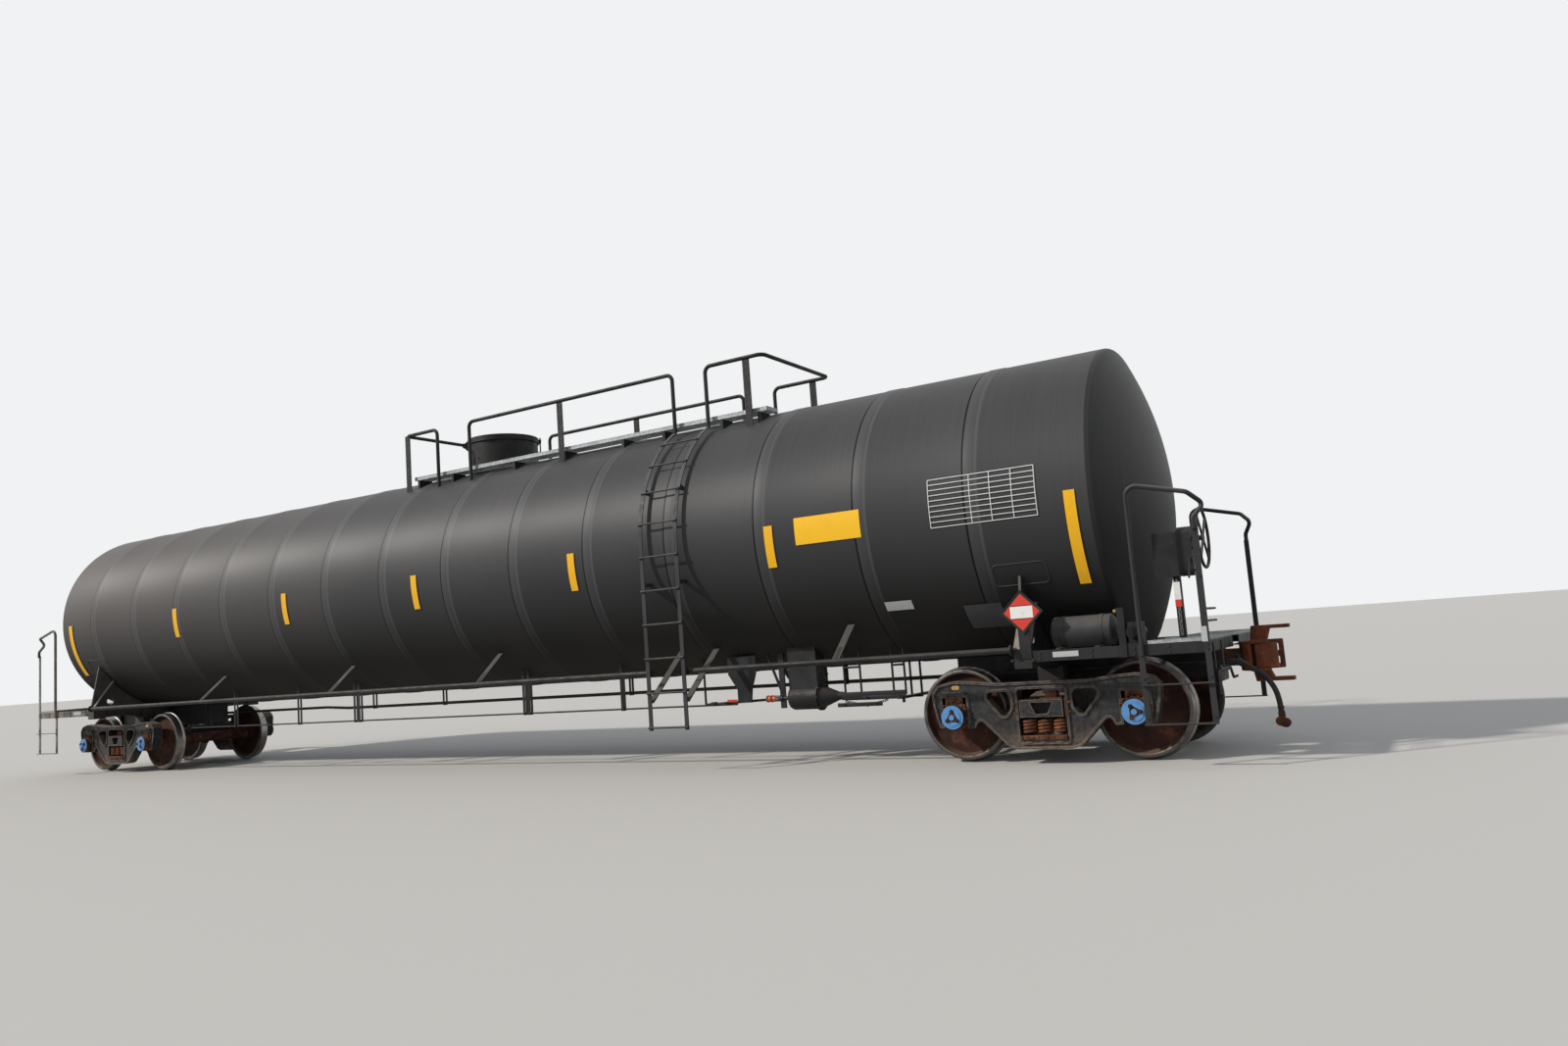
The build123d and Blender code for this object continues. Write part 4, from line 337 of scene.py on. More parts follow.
brass = bare_steel("dull_valve_brass", "#a98b52", "#4d4230", 0.6, 0.42)
rubber = hose_rubber()


# Mesh helpers: a piece is made in a bmesh, turned into an object at the origin, and rides on a body
across = Matrix.Diagonal((1, -1, 1, 1))             # to the other side of the car
lengthwise = Matrix.Diagonal((-1, 1, 1, 1))         # to the other end, on the same side
half_turn = Matrix.Rotation(pi, 4, "Z")             # to the other end, on the other side
upwards = Vector((0, 0, 1))


def doubled(shape, move):
    """Adds the same pieces again, moved by a matrix. A flip turns them inside out, so it turns their faces back."""
    copy = bmesh.ops.duplicate(shape, geom=shape.verts[:] + shape.edges[:] + shape.faces[:])["geom"]
    bmesh.ops.transform(shape, matrix=move, verts=[part for part in copy if isinstance(part, bmesh.types.BMVert)])
    if move.is_negative:
        bmesh.ops.reverse_faces(shape, faces=[part for part in copy if isinstance(part, bmesh.types.BMFace)])


def put(name, shape, materials, body="car_body", twin=None, smooth=None, replaces=()):
    """Makes a piece of a bmesh, with a twin moved by a matrix if one is given. smooth is the largest angle, in
    degrees, that still shades as one surface."""
    if twin is not None:
        doubled(shape, twin)
    mesh = bpy.data.meshes.new(name)
    if smooth is not None:
        for face in shape.faces:
            face.smooth = True
        for edge in shape.edges:
            edge.smooth = len(edge.link_faces) == 2 and edge.calc_face_angle(pi) < radians(smooth)
    shape.to_mesh(mesh)
    shape.free()
    made = placed(name, mesh)
    for each in materials if isinstance(materials, list) else [materials]:
        mesh.materials.append(each)
    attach(made, body)
    if replaces:
        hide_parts(*replaces)


def outline(shape, points, close=False):
    """Adds a line of vertices and edges through the points."""
    corners = [shape.verts.new(p) for p in points]
    pairs = list(zip(corners, corners[1:])) + ([(corners[-1], corners[0])] if close else [])
    return corners + [shape.edges.new(pair) for pair in pairs]


def bar_end(shape, place, radius, sides, capped=False):
    """The round section of a bar that runs along y, ready to spin."""
    corners = bmesh.ops.create_circle(shape, cap_ends=capped, radius=radius, segments=sides,
                                      matrix=Matrix.Translation(place) @ Matrix.Rotation(pi / 2, 4, "X"))["verts"]
    return corners + list({e for v in corners for e in v.link_edges})


def spin(shape, parts, centre, axis, steps, angle=2 * pi, rise=0.0):
    """Turns a line round an axis, raising it at each step. One full turn closes on itself."""
    bmesh.ops.spin(shape, geom=parts, cent=centre, axis=axis, dvec=(0, 0, rise), angle=angle, steps=steps,
                   use_merge=angle == 2 * pi)


def tidy(shape, gap=1e-5):
    bmesh.ops.remove_doubles(shape, verts=shape.verts, dist=gap)
    bmesh.ops.recalc_face_normals(shape, faces=shape.faces)


def block(shape, low, high, bevel=0.0):
    """A box between two corners, with its edges rounded off where a bevel is given."""
    size = Vector(high) - Vector(low)
    middle = (Vector(high) + Vector(low)) / 2
    made = bmesh.ops.create_cube(shape, size=1.0,
                                 matrix=Matrix.Translation(middle) @ Matrix.Diagonal((*size, 1.0)))
    if bevel:
        edges = {e for v in made["verts"] for e in v.link_edges}
        bmesh.ops.bevel(shape, geom=list(edges), offset=bevel, affect="EDGES", segments=2, profile=0.5,
                        material=-1)


def along(direction):
    """Matrix that turns +z to a direction."""
    return Vector(direction).to_track_quat("Z", "Y").to_matrix().to_4x4()


def rod(shape, start, stop, radius, sides=12, tip=None):
    """A round bar between two points, its far end of another radius if tip is given."""
    line = Vector(stop) - Vector(start)
    middle = (Vector(stop) + Vector(start)) / 2
    bmesh.ops.create_cone(shape, cap_ends=True, segments=sides, radius1=radius,
                          radius2=radius if tip is None else tip, depth=line.length,
                          matrix=Matrix.Translation(middle) @ along(line))


def bolts(shape, places, radius, height, direction=(0, -1, 0), sides=6):
    """Bolt heads or rivets that stand out of the near side, or another way if one is given."""
    for place in places:
        rod(shape, place, Vector(place) + Vector(direction).normalized() * height, radius, sides)


def thicken(shape, faces, step):
    """Draws flat faces out by a step, which makes plates of them."""
    drawn = bmesh.ops.extrude_face_region(shape, geom=faces)["geom"]
    bmesh.ops.translate(shape, vec=step, verts=[part for part in drawn if isinstance(part, bmesh.types.BMVert)])


def plate(shape, corners, step):
    """A flat plate with its outline given by its corners, and its thickness by a step."""
    thicken(shape, [shape.faces.new([shape.verts.new(place) for place in corners])], step)


def paint(material, *nodes):
    """Gives carried-over CAD nodes their finish."""
    for node in nodes:
        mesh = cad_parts[node].data
        mesh.materials.clear()
        mesh.materials.append(material)


# Tank: the jacket's courses lap over each other at even seams, with dished heads
head_crown = 3.530
head_knuckle = 0.060
crown_steps = 16
knuckle_steps = 8
jacket_steps = 224
groove_depth = 0.006


def head_profile():
    """The head's half outline from its middle to the barrel: distance along the car, then radius."""
    span = sqrt((head_crown - head_knuckle) ** 2 - (tank_radius - head_knuckle) ** 2)
    centre = tank_half - span
    join = atan2(tank_radius - head_knuckle, span)
    dome = [(centre + head_crown * cos(join * k / crown_steps), head_crown * sin(join * k / crown_steps))
            for k in range(crown_steps + 1)]
    turns = [join + (pi / 2 - join) * k / knuckle_steps for k in range(1, knuckle_steps + 1)]
    return dome + [(tank_half + head_knuckle * cos(a), tank_radius - head_knuckle + head_knuckle * sin(a))
                   for a in turns]


def jacket_profile():
    """The barrel's outline between its heads, with a soft raised lap beside each seam."""
    steps = ((lap_width + 0.03, 0), (lap_width, lap_height), (0.012, lap_height), (0.006, lap_height - 0.001),
             (0.004, -groove_depth), (-0.004, -groove_depth), (-0.006, 0))
    return [(first_seam - seam_pitch * k + x, tank_radius + r) for k in range(seam_count) for x, r in steps]


shape = bmesh.new()
right_head = head_profile()
section = right_head + jacket_profile() + [(-x, r) for x, r in reversed(right_head)]
spin(shape, outline(shape, [(x, 0, tank_axis + r) for x, r in section]), (0, 0, tank_axis), (1, 0, 0), jacket_steps)
tidy(shape)
put("tank_jacket", shape, jacket_finish, smooth=40, replaces=["tank_shell"])


# Sheets and plates on the jacket: reflective stripes, a ruled table with blank cells, and blank plates
sheet_lift = 0.011
stripe_half = 0.105 / 2
stripes = (((-5.52, -2.79, -0.06, 2.67, 5.44), 2.12, 2.56), ((-8.60, 8.68), 1.66, 2.51))
table_left, table_right = 7.297, 8.368
table_low, table_high = 2.317, 2.785
table_rows = 9
table_columns = (0.0, 0.40, 0.59, 0.79, 1.0)
rule_width = 0.008


def sheet_on_tank(shape, start, stop, low, high, steps=16):
    """A thin sheet lying on the near side of the jacket, from one angle to another, in degrees above level."""
    reach, foot = tank_radius + sheet_lift, radians(low)
    edge = outline(shape, [(x, -reach * cos(foot), tank_axis + reach * sin(foot)) for x in (start, stop)])
    spin(shape, edge, (0, 0, tank_axis), (-1, 0, 0), steps, radians(high - low))


def angle_at(height):
    """Angle above level of a point on the jacket at a height above the rail."""
    return degrees(asin((rail + height - tank_axis) / tank_radius))


shape = bmesh.new()
for places, low, high in stripes:
    for place in places:
        sheet_on_tank(shape, place - stripe_half, place + stripe_half, angle_at(low), angle_at(high))
put("reflective_stripes", shape, yellow_sheet, twin=half_turn, smooth=60)

shape = bmesh.new()
for share in table_columns:
    place = table_left + (table_right - table_left) * share
    sheet_on_tank(shape, place - rule_width / 2, place + rule_width / 2, angle_at(table_low), angle_at(table_high))
for row in range(table_rows + 1):
    height = table_low + (table_high - table_low) * row / table_rows
    sheet_on_tank(shape, table_left, table_right, angle_at(height), angle_at(height + rule_width), steps=1)
put("ruled_table", shape, white_paint, twin=half_turn, smooth=60)

for name, material, edges in (("blank_panel", yellow_panel, (5.765, 6.532, angle_at(2.320), angle_at(2.602))),
                              ("faded_plates", faded_plate, (7.42, 7.81, -52.0, -39.7)),
                              ("blank_tank_plates", pale_plate, (6.60, 6.90, -39.2, -35.0))):
    shape = bmesh.new()
    sheet_on_tank(shape, *edges)
    put(name, shape, material, twin=half_turn, smooth=60)


# Wheels: spun from their real section, with a bright tread and rim
wheel_back = 0.678
rim_width = 0.145
wheel_radius = 0.457
flange_radius = wheel_radius + 0.0254
rim_inner = wheel_radius - 0.044
hub_back = wheel_back - 0.014
hub_face = hub_back + 0.178
hub_radius = 0.150
bore_radius = 0.113
wheel_steps = 96
wheelsets = [(number, end * truck_x + side * wheelbase / 2) for number, (end, side) in
             enumerate(((-1, -1), (-1, 1), (1, -1), (1, 1)), start=1)]


def wheel_section():
    """Rows of distance from the track's middle, radius and material: 0 rusted, 1 rim face, 2 tread."""
    face = wheel_back + rim_width
    plate_top, plate_foot = wheel_back + 0.062, hub_face - 0.060
    # Each part's rows are steps from its own depth and radius
    parts = (
        (hub_face, hub_radius, ((0, bore_radius - hub_radius, 0), (0, -0.030, 0), (-0.004, -0.014, 0),
                                (-0.014, -0.002, 0), (-0.032, 0.006, 0))),
        (plate_foot, hub_radius, ((0.032, 0.014, 0), (0.026, 0.030, 0), (0.016, 0.070, 0))),
        (plate_top, hub_radius, ((0.034, 0.140, 0),)),
        (plate_top, rim_inner, ((0.024, -0.060, 0), (0.028, -0.026, 0))),
        (face, rim_inner, ((-0.030, -0.010, 0), (-0.010, -0.002, 0), (-0.002, 0.004, 1), (0, 0.010, 1))),
        (face, wheel_radius, ((0, -0.010, 1), (-0.004, -0.004, 2), (-0.012, -0.001, 2))),
        (wheel_back, wheel_radius, ((0.046, 0.001, 2), (0.036, 0.005, 2), (0.030, 0.014, 2))),
        (wheel_back, flange_radius, ((0.024, -0.003, 2), (0.016, 0, 2), (0.008, -0.002, 1), (0, -0.012, 1))),
        (wheel_back, rim_inner, ((0, 0.008, 1), (0.008, -0.004, 0))),
        (plate_top, rim_inner, ((0, -0.026, 0),)),
        (plate_foot, hub_radius, ((-0.010, 0.030, 0),)),
        (hub_back, hub_radius, ((0.012, 0, 0), (0, -0.012, 0), (0, bore_radius - hub_radius, 0))))
    return [(depth + y, radius + r, kind) for depth, radius, steps in parts for y, r, kind in steps]


wheel_rows = wheel_section()
wheel_bands = [((y + next_y) / 2, (r + next_r) / 2, kind) for (y, r, kind), (next_y, next_r, _) in
               zip(wheel_rows, wheel_rows[1:] + wheel_rows[:1])]
for number, place in wheelsets:
    shape = bmesh.new()
    line = outline(shape, [(place, -y, axle_height + r) for y, r, _ in wheel_rows], close=True)
    spin(shape, line, (place, 0, axle_height), (0, 1, 0), wheel_steps)
    tidy(shape)
    for face in shape.faces:
        x, y, z = face.calc_center_median()
        radius = sqrt((x - place) ** 2 + (z - axle_height) ** 2)
        face.material_index = min(wheel_bands, key=lambda band: (band[0] + y) ** 2 + (band[1] - radius) ** 2)[2]
    put(f"turned_wheels_{number}", shape, [wheel_rust, rim_face, tread_bright], f"wheelset_{number}", twin=across,
        smooth=38, replaces=[f"wheels_{number}"])


# Springs: coiled steel bars between seat and bolster
spring_seat = rail + 0.255
spring_top = rail + 0.432
spring_y = 1.010
spring_pitch = 0.152
spring_places = (-spring_pitch, 0, spring_pitch)
spring_coils = ((0.060, 0.0140, 4.6), (0.032, 0.0095, 6.6))
steps_per_turn = 22


def coil(shape, x, y, radius, bar, turns):
    """One spring, its bar following a helix."""
    low, high = spring_seat + bar, spring_top - bar
    steps = int(turns * steps_per_turn)
    start = bar_end(shape, (x + radius, y, low), bar, 8, capped=True)
    spin(shape, start, (x, y, 0), (0, 0, 1), steps, 2 * pi * turns, (high - low) / steps)


for name, end in ends:
    shape = bmesh.new()
    for side in (-1, 1):
        for place in spring_places:
            for radius, bar, turns in spring_coils:
                coil(shape, end * truck_x + place, side * spring_y, radius, bar, turns)
    tidy(shape, 1e-6)
    put(f"spring_coils_{name}", shape, rust_coil, f"truck_{name}", smooth=50,
        replaces=[f"truck_springs_{name}"])


# Finishes of the carried-over nodes
paint(bolster_black, "body_bolsters")
paint(end_black, "end_frames")
paint(step_grey, "corner_steps")
paint(frame_black, "stub_sills", "side_pipes", "walkway_supports", "top_handrails", "protective_housing",
      "housing_lid", "control_valve", "brake_cylinder", "brake_rods", "brake_brackets", "train_line", "hand_brake",
      "uncoupling_levers", "placard_holders")
paint(ladder_grey, "ladder_stiles", "ladder_rungs", "air_reservoir")
paint(brass, "valve_set")
paint(rust_brown, *[f"axle_{number}" for number, place in wheelsets])
for name, end in ends:
    paint(truck_black, f"side_frames_{name}", f"truck_bolster_{name}", f"brake_beams_{name}")
    paint(rust_brown, f"bearings_{name}", f"gladhand_{name}")
    paint(rust_orange, f"coupler_{name}", f"knuckle_{name}")


# Air hoses: the same route as the construction's, as one smooth curve
hose_points = [(9.8593, -0.430, rail + 0.790), (9.9632, -0.430, rail + 0.730), (10.0532, -0.430, rail + 0.6228),
               (10.1011, -0.430, rail + 0.4912), (10.1056, -0.430, rail + 0.3613)]
for name, end in ends:
    curve = bpy.data.curves.new(f"hose_{name}", "CURVE")
    curve.dimensions = "3D"
    curve.bevel_depth = 0.025
    curve.bevel_resolution = 5
    curve.resolution_u = 16
    curve.use_fill_caps = True
    line = curve.splines.new("NURBS")
    line.points.add(len(hose_points) - 1)
    for point, (x, y, z) in zip(line.points, hose_points):
        point.co = (end * x, end * y, z, 1.0)
    line.order_u = 3
    line.use_endpoint_u = True
    curve.materials.append(rubber)
    hose = placed(f"brake_hose_{name}", curve)
    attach(hose, "car_body")
    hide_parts(f"air_hose_{name}")
    x, y, z = hose_points[0]


# Gratings: bars on edge across a board, rods along it, and a band round the whole
channel_top = rail + 1.068
board_inner, board_outer = 9.215, 9.685
side_reach = 1.490
board_thickness = 0.028
walk_top = rail + 4.055
walk_left, walk_right = -0.880, 5.065
walk_inner, walk_outer = 0.505, 0.745
walk_depth = 0.048
grate_band = 0.006
bars = (0.034, 0.005, 0.002, 0.024)     # pitch, thickness, drop below the band's top, depth
rods = (0.075, 0.007, 0.001, 0.006)


def slab(shape, low, high, axis, start, stop, drop=0.0, depth=None):
    """The slice of a box between two distances along one axis, its top lowered and its depth cut if asked."""
    near, far = list(low), list(high)
    near[axis], far[axis] = start, stop
    far[2] -= drop
    if depth:
        near[2] = far[2] - depth
    block(shape, near, far)


def grating(shape, low, high, long_axis):
    """Fills a box with grating whose bars stand across its long axis."""
    for axis, (pitch, thickness, drop, depth) in ((long_axis, bars), (1 - long_axis, rods)):
        slab(shape, low, high, axis, low[axis], low[axis] + grate_band)
        slab(shape, low, high, axis, high[axis] - grate_band, high[axis])
        for k in range(1, int((high[axis] - low[axis]) / pitch)):
            place = low[axis] + k * pitch
            slab(shape, low, high, axis, place, place + thickness, drop, depth)


shape = bmesh.new()
for low_x, high_x in ((board_inner, board_outer), (-board_outer, -board_inner)):
    grating(shape, (low_x, -side_reach, channel_top), (high_x, side_reach, channel_top + board_thickness), 1)
put("crossing_gratings", shape, galvanised, replaces=["crossing_boards"])

shape = bmesh.new()
for low_y, high_y in ((walk_inner, walk_outer), (-walk_outer, -walk_inner)):
    grating(shape, (walk_left, low_y, walk_top - walk_depth), (walk_right, high_y, walk_top), 0)
put("walkway_gratings", shape, galvanised, replaces=["top_walkway"])


# Rails and ladders: rows of rivets in the flat posts, and bolts through the rungs' ends
rail_y = 0.800
rail_height = rail + 4.660
post_places = (-0.936, 1.955, 4.850)
post_rise = 0.60
rivet_pitch = 0.075
ladder_x = 4.025
ladder_half = 0.245
ladder_radius = 1.614
stile_radius = ladder_radius + 0.011
rung_pitch = 0.380
first_rung = rail + 0.487
straight_rungs = 6
curved_rungs = 4
tab_thickness = 0.008


def rung_places():
    """Each rung on the -y side: its point on the stile's outer face, and the way out of it."""
    rows = [(Vector((0, -ladder_radius, first_rung + k * rung_pitch)), Vector((0, -1, 0)))
            for k in range(straight_rungs)]
    start = asin((first_rung + (straight_rungs - 1) * rung_pitch - tank_axis) / stile_radius)
    for k in range(1, curved_rungs + 1):
        angle = start + k * rung_pitch / stile_radius
        out = Vector((0, -cos(angle), sin(angle)))
        rows.append((out * ladder_radius + upwards * tank_axis, out))
    return rows


shape = bmesh.new()
for place in post_places:
    rows = [(place + shift, -rail_y - 0.006, rail_height - 0.06 - k * rivet_pitch)
            for k in range(int(post_rise / rivet_pitch)) for shift in (-0.028, 0.028)]
    bolts(shape, rows, 0.009, 0.006, sides=8)
for foot, out in rung_places():
    for side in (-1, 1):
        place = foot + Vector((ladder_x + side * (ladder_half + 0.012), 0, 0)) + out * tab_thickness
        bolts(shape, [place], 0.012, 0.009, out)
put("rail_and_ladder_bolts", shape, grip_black, twin=across, smooth=50)


# Protective housing: bands round its lid, the latch bolt with its eye nut, a handle, and bolts round its wall
housing_radius = 0.485
housing_middle = Vector((0.140, 0, rail + 4.515))   # at the height of its rim
lid_rim = housing_radius + 0.014
hinge_angle = radians(225.0)
wall_bolts = 7
latch = housing_middle - Vector((cos(hinge_angle), sin(hinge_angle), 0)) * (lid_rim + 0.020)
handle = housing_middle + Vector((0.30, -0.42, -0.030))


def ring(shape, centre, radius, bar):
    """A round bar bent into a level ring."""
    spin(shape, bar_end(shape, centre + Vector((radius, 0, 0)), bar, 8), centre, upwards, 72)


shape = bmesh.new()
ring(shape, housing_middle - upwards * 0.058, lid_rim + 0.002, 0.006)
ring(shape, housing_middle + upwards * 0.010, lid_rim - 0.004, 0.005)
tidy(shape)
rod(shape, latch - upwards * 0.17, latch + upwards * 0.035, 0.010)
rod(shape, latch - upwards * 0.016, latch + upwards * 0.008, 0.020, sides=6)
rod(shape, handle, handle + Vector((0.030, -0.045, 0)), 0.008)
put("lid_fittings", shape, frame_black, "housing_lid", smooth=50)

shape = bmesh.new()
block(shape, latch - Vector((0.024, 0.024, 0.210)), latch + Vector((0.024, 0.024, -0.170)), 0.004)
for turn in range(wall_bolts):
    angle = radians(turn * 360 / wall_bolts + 12)
    out = Vector((cos(angle), sin(angle), 0))
    bolts(shape, [housing_middle + out * (housing_radius + 0.001) - upwards * 0.30], 0.012, 0.008, out)
put("housing_fittings", shape, frame_black, smooth=50)


# Bearings: a painted cap on each axle end, with three cap screws on a lock plate
cap_face = 1.165
cap_radius = 0.117
cap_steps = ((0.004, cap_radius, 48, cap_radius - 0.004), (0.012, 0.090, 40, 0.086), (0.026, 0.034, 24, 0.026))
screw_ring = 0.060
plate_ring = 0.084


def cap_points(place, radius, turn, depth):
    """Three points evenly round the near end of an axle."""
    angles = [radians(turn + k * 120) for k in range(3)]
    return [(place + radius * cos(a), -depth, axle_height + radius * sin(a)) for a in angles]


for number, place in wheelsets:
    shape = bmesh.new()
    for height, radius, sides, tip in cap_steps:
        rod(shape, (place, -cap_face, axle_height), (place, -cap_face - height, axle_height), radius, sides, tip)
    put(f"end_cap_paint_{number}", shape, blue_enamel, f"wheelset_{number}", twin=across, smooth=40)
    shape = bmesh.new()
    turn = 30 * number
    plate(shape, cap_points(place, plate_ring, turn, cap_face + 0.0135), (0, -0.003, 0))
    tidy(shape)
    bolts(shape, cap_points(place, screw_ring, turn, cap_face + 0.012), 0.020, 0.006, sides=20)
    bolts(shape, cap_points(place, screw_ring, turn, cap_face + 0.016), 0.015, 0.016)
    put(f"cap_screws_{number}", shape, rust_brown, f"wheelset_{number}", twin=across, smooth=40)


# Trucks: liners and rivets at the bolster window, adapter flanges, cast pads and a yellow mark on the side frames
window_half = 0.236
frame_face = 1.085
adapter_start = radians(16)
adapter_inner, adapter_outer = 0.122, 0.150
lip_low, lip_high = rail + 0.213, rail + 0.257
frame_pads = ((-0.100, 0.105, 0.010, 0.205, 0.245, 0.005), (-0.120, -0.096, 0.014, 0.198, 0.252, 0.004),
              (0.100, 0.124, 0.014, 0.198, 0.252, 0.004))
mark_half = 0.022
mark_radius = 0.020
mark_height = axle_height + 0.285


def adapter_flange(shape, place):
    """The bearing adapter's outer flange, an arch with knobs along its edge, over the near axle end at a place."""
    near, far = -frame_face - 0.003, -frame_face - 0.020
    corners = ((adapter_inner, near), (adapter_outer, near), (adapter_outer, far), (adapter_inner, far))
    arch = outline(shape, [(place + r * cos(adapter_start), y, axle_height + r * sin(adapter_start))
                           for r, y in corners], close=True)
    spin(shape, arch, (place, 0, axle_height), (0, -1, 0), 24, pi - 2 * adapter_start)
    bmesh.ops.holes_fill(shape, edges=[e for e in shape.edges if len(e.link_faces) == 1], sides=4)
    for turn in range(24, 157, 22):
        angle = radians(turn)
        foot = Vector((place + adapter_outer * cos(angle), near, axle_height + adapter_outer * sin(angle)))
        rod(shape, foot, foot + Vector((0, far - near, 0)), 0.015, sides=10)


for name, end in ends:
    middle = end * truck_x
    shape = bmesh.new()
    for side in (-1, 1):
        place = middle + side * (window_half + 0.034)
        bolts(shape, [(place, -frame_face, rail + height) for height in (0.475, 0.565)], 0.014, 0.010)
        left, right = sorted(middle + side * half for half in (window_half, window_half - 0.010))
        block(shape, (left, -frame_face - 0.004, rail + 0.425), (right, -frame_face + 0.13, rail + 0.605))
        adapter_flange(shape, middle + side * wheelbase / 2)
    # Plate and block on the bolster's end, and the lip of the spring seat with its three pockets
    block(shape, (middle - 0.010, -1.100, rail + 0.596), (middle + 0.205, -0.955, rail + 0.612), 0.004)
    block(shape, (middle + 0.045, -1.085, rail + 0.612), (middle + 0.155, -0.975, rail + 0.672), 0.008)
    bolts(shape, [(middle + x, -1.028, rail + 0.596) for x in (-0.165, -0.075)], 0.014, 0.014, (0, 0, 1))
    # A thin plate just inside the springs stands in for the parts behind them and puts shade between the coils, where
    # the backdrop would show
    block(shape, (middle - 0.215, -0.920, rail + 0.262), (middle + 0.215, -0.912, rail + 0.425))
    block(shape, (middle - 0.228, -1.108, lip_low), (middle + 0.228, -1.099, lip_high), 0.003)
    for x in [middle + place for place in spring_places]:
        for shift in (-0.050, 0.050):
            block(shape, (x + shift - 0.005, -1.114, lip_low + 0.008), (x + shift + 0.005, -1.106, lip_high - 0.004))
        block(shape, (x - 0.050, -1.114, lip_low + 0.006), (x + 0.050, -1.106, lip_low + 0.012))
    doubled(shape, across)
    tidy(shape, 1e-6)
    put(f"truck_fittings_{name}", shape, rust_brown, f"truck_{name}", smooth=40)

    shape = bmesh.new()
    for jaw in (middle - wheelbase / 2, middle + wheelbase / 2):
        for left, right, lift, low, high, bevel in frame_pads:
            block(shape, (jaw + left, -frame_face - lift, axle_height + low),
                  (jaw + right, -frame_face + 0.004, axle_height + high), bevel)
    put(f"frame_pads_{name}", shape, truck_black, f"truck_{name}", twin=across, smooth=40)

    shape = bmesh.new()
    mark = middle - end * wheelbase / 2 + 0.020
    left, right = mark - mark_half, mark + mark_half
    for x in (left, right):
        rod(shape, (x, -1.066, mark_height), (x, -1.069, mark_height), mark_radius, sides=20)
    block(shape, (left, -1.0685, mark_height - mark_radius), (right, -1.0665, mark_height + mark_radius))
    put(f"frame_marks_{name}", shape, mark_yellow, f"truck_{name}", twin=across)


# Ends: bolt rows in the side channels, pale plates, a knob, and the welds round the pads on the jacket
end_bolts = (((8.24, 8.72, 9.10, 9.40, 9.70), (0.993, 1.043), 0.0, 0.012, 0.009),
             ((9.16, 9.72), (1.00, 1.04, 0.76, 0.42), 0.012, 0.011, 0.009),
             ((9.72,), (1.30, 1.62, 2.0), 0.012, 0.010, 0.008),
             ((7.975, 8.18), (0.99,), 0.001, 0.014, 0.011))
end_plates = ((8.365, 8.604, 1.000, 1.050, 0.0), (-8.62, -8.38, 1.000, 1.050, 0.0), (9.68, 9.73, 1.060, 1.190, 0.012))
knob = Vector((8.968, -side_reach - 0.006, rail + 1.376))
bead_lift = 0.003
bead_corner = 0.05
bead_points = 32

shape = bmesh.new()
for places, heights, lift, radius, rise in end_bolts:
    for place in places:
        bolts(shape, [(place, -side_reach - lift, rail + height) for height in heights], radius, rise)
doubled(shape, across)
doubled(shape, lengthwise)
put("frame_bolts", shape, grip_black, smooth=50)

shape = bmesh.new()
for left, right, low, high, lift in end_plates:
    block(shape, (left, -side_reach - lift - 0.004, rail + low), (right, -side_reach - lift - 0.0005, rail + high),
          0.001)
put("pale_plates", shape, pale_plate)

shape = bmesh.new()
bmesh.ops.create_uvsphere(shape, u_segments=20, v_segments=12, radius=0.018, matrix=Matrix.Translation(knob))
rod(shape, knob, knob + Vector((0.022, 0, 0)), 0.006)
put("valve_knob", shape, brass, smooth=60)


def bead(shape, start, stop, low, high):
    """A weld bead round a rounded oblong on the near side of the jacket, from corner angles in degrees."""
    route = []
    middle_x, half_x = (start + stop) / 2, (stop - start) / 2 - bead_corner
    middle_arc = radians((low + high) / 2) * tank_radius
    half_arc = radians(high - low) / 2 * tank_radius - bead_corner
    reach = tank_radius + bead_lift
    for k in range(bead_points):
        angle = radians(k * 360 / bead_points)
        x = middle_x + (half_x if cos(angle) >= 0 else -half_x) + bead_corner * cos(angle)
        up = (middle_arc + (half_arc if sin(angle) >= 0 else -half_arc) + bead_corner * sin(angle)) / tank_radius
        route.append(Vector((x, -reach * cos(up), tank_axis + reach * sin(up))))
    for here, there in zip(route, route[1:] + route[:1]):
        rod(shape, here, there, 0.004, sides=6)


shape = bmesh.new()
bead(shape, 7.82, 8.35, -33.0, -24.5)
bead(shape, -8.35, -7.82, -33.0, -24.5)
put("pad_welds", shape, weld_metal, twin=half_turn, smooth=60)


# Placards: a red diamond in a black border, with a blank white band and two thin black bars
placard_x = truck_x + 0.038
placard_height = rail + 1.434
placard_face = side_reach + 0.0103 + 0.012


def diamond(shape, half, low, high, lift):
    """The slice of a diamond between two heights above its middle, as a flat face."""
    levels = sorted({low, high} | ({0.0} if low < 0 < high else set()))
    right = [(half - abs(level), level) for level in levels]
    points = dict.fromkeys(right + [(-x, z) for x, z in reversed(right)])
    shape.faces.new([shape.verts.new((placard_x + x, -placard_face - lift, placard_height + z)) for x, z in points])
    bmesh.ops.recalc_face_normals(shape, faces=shape.faces)


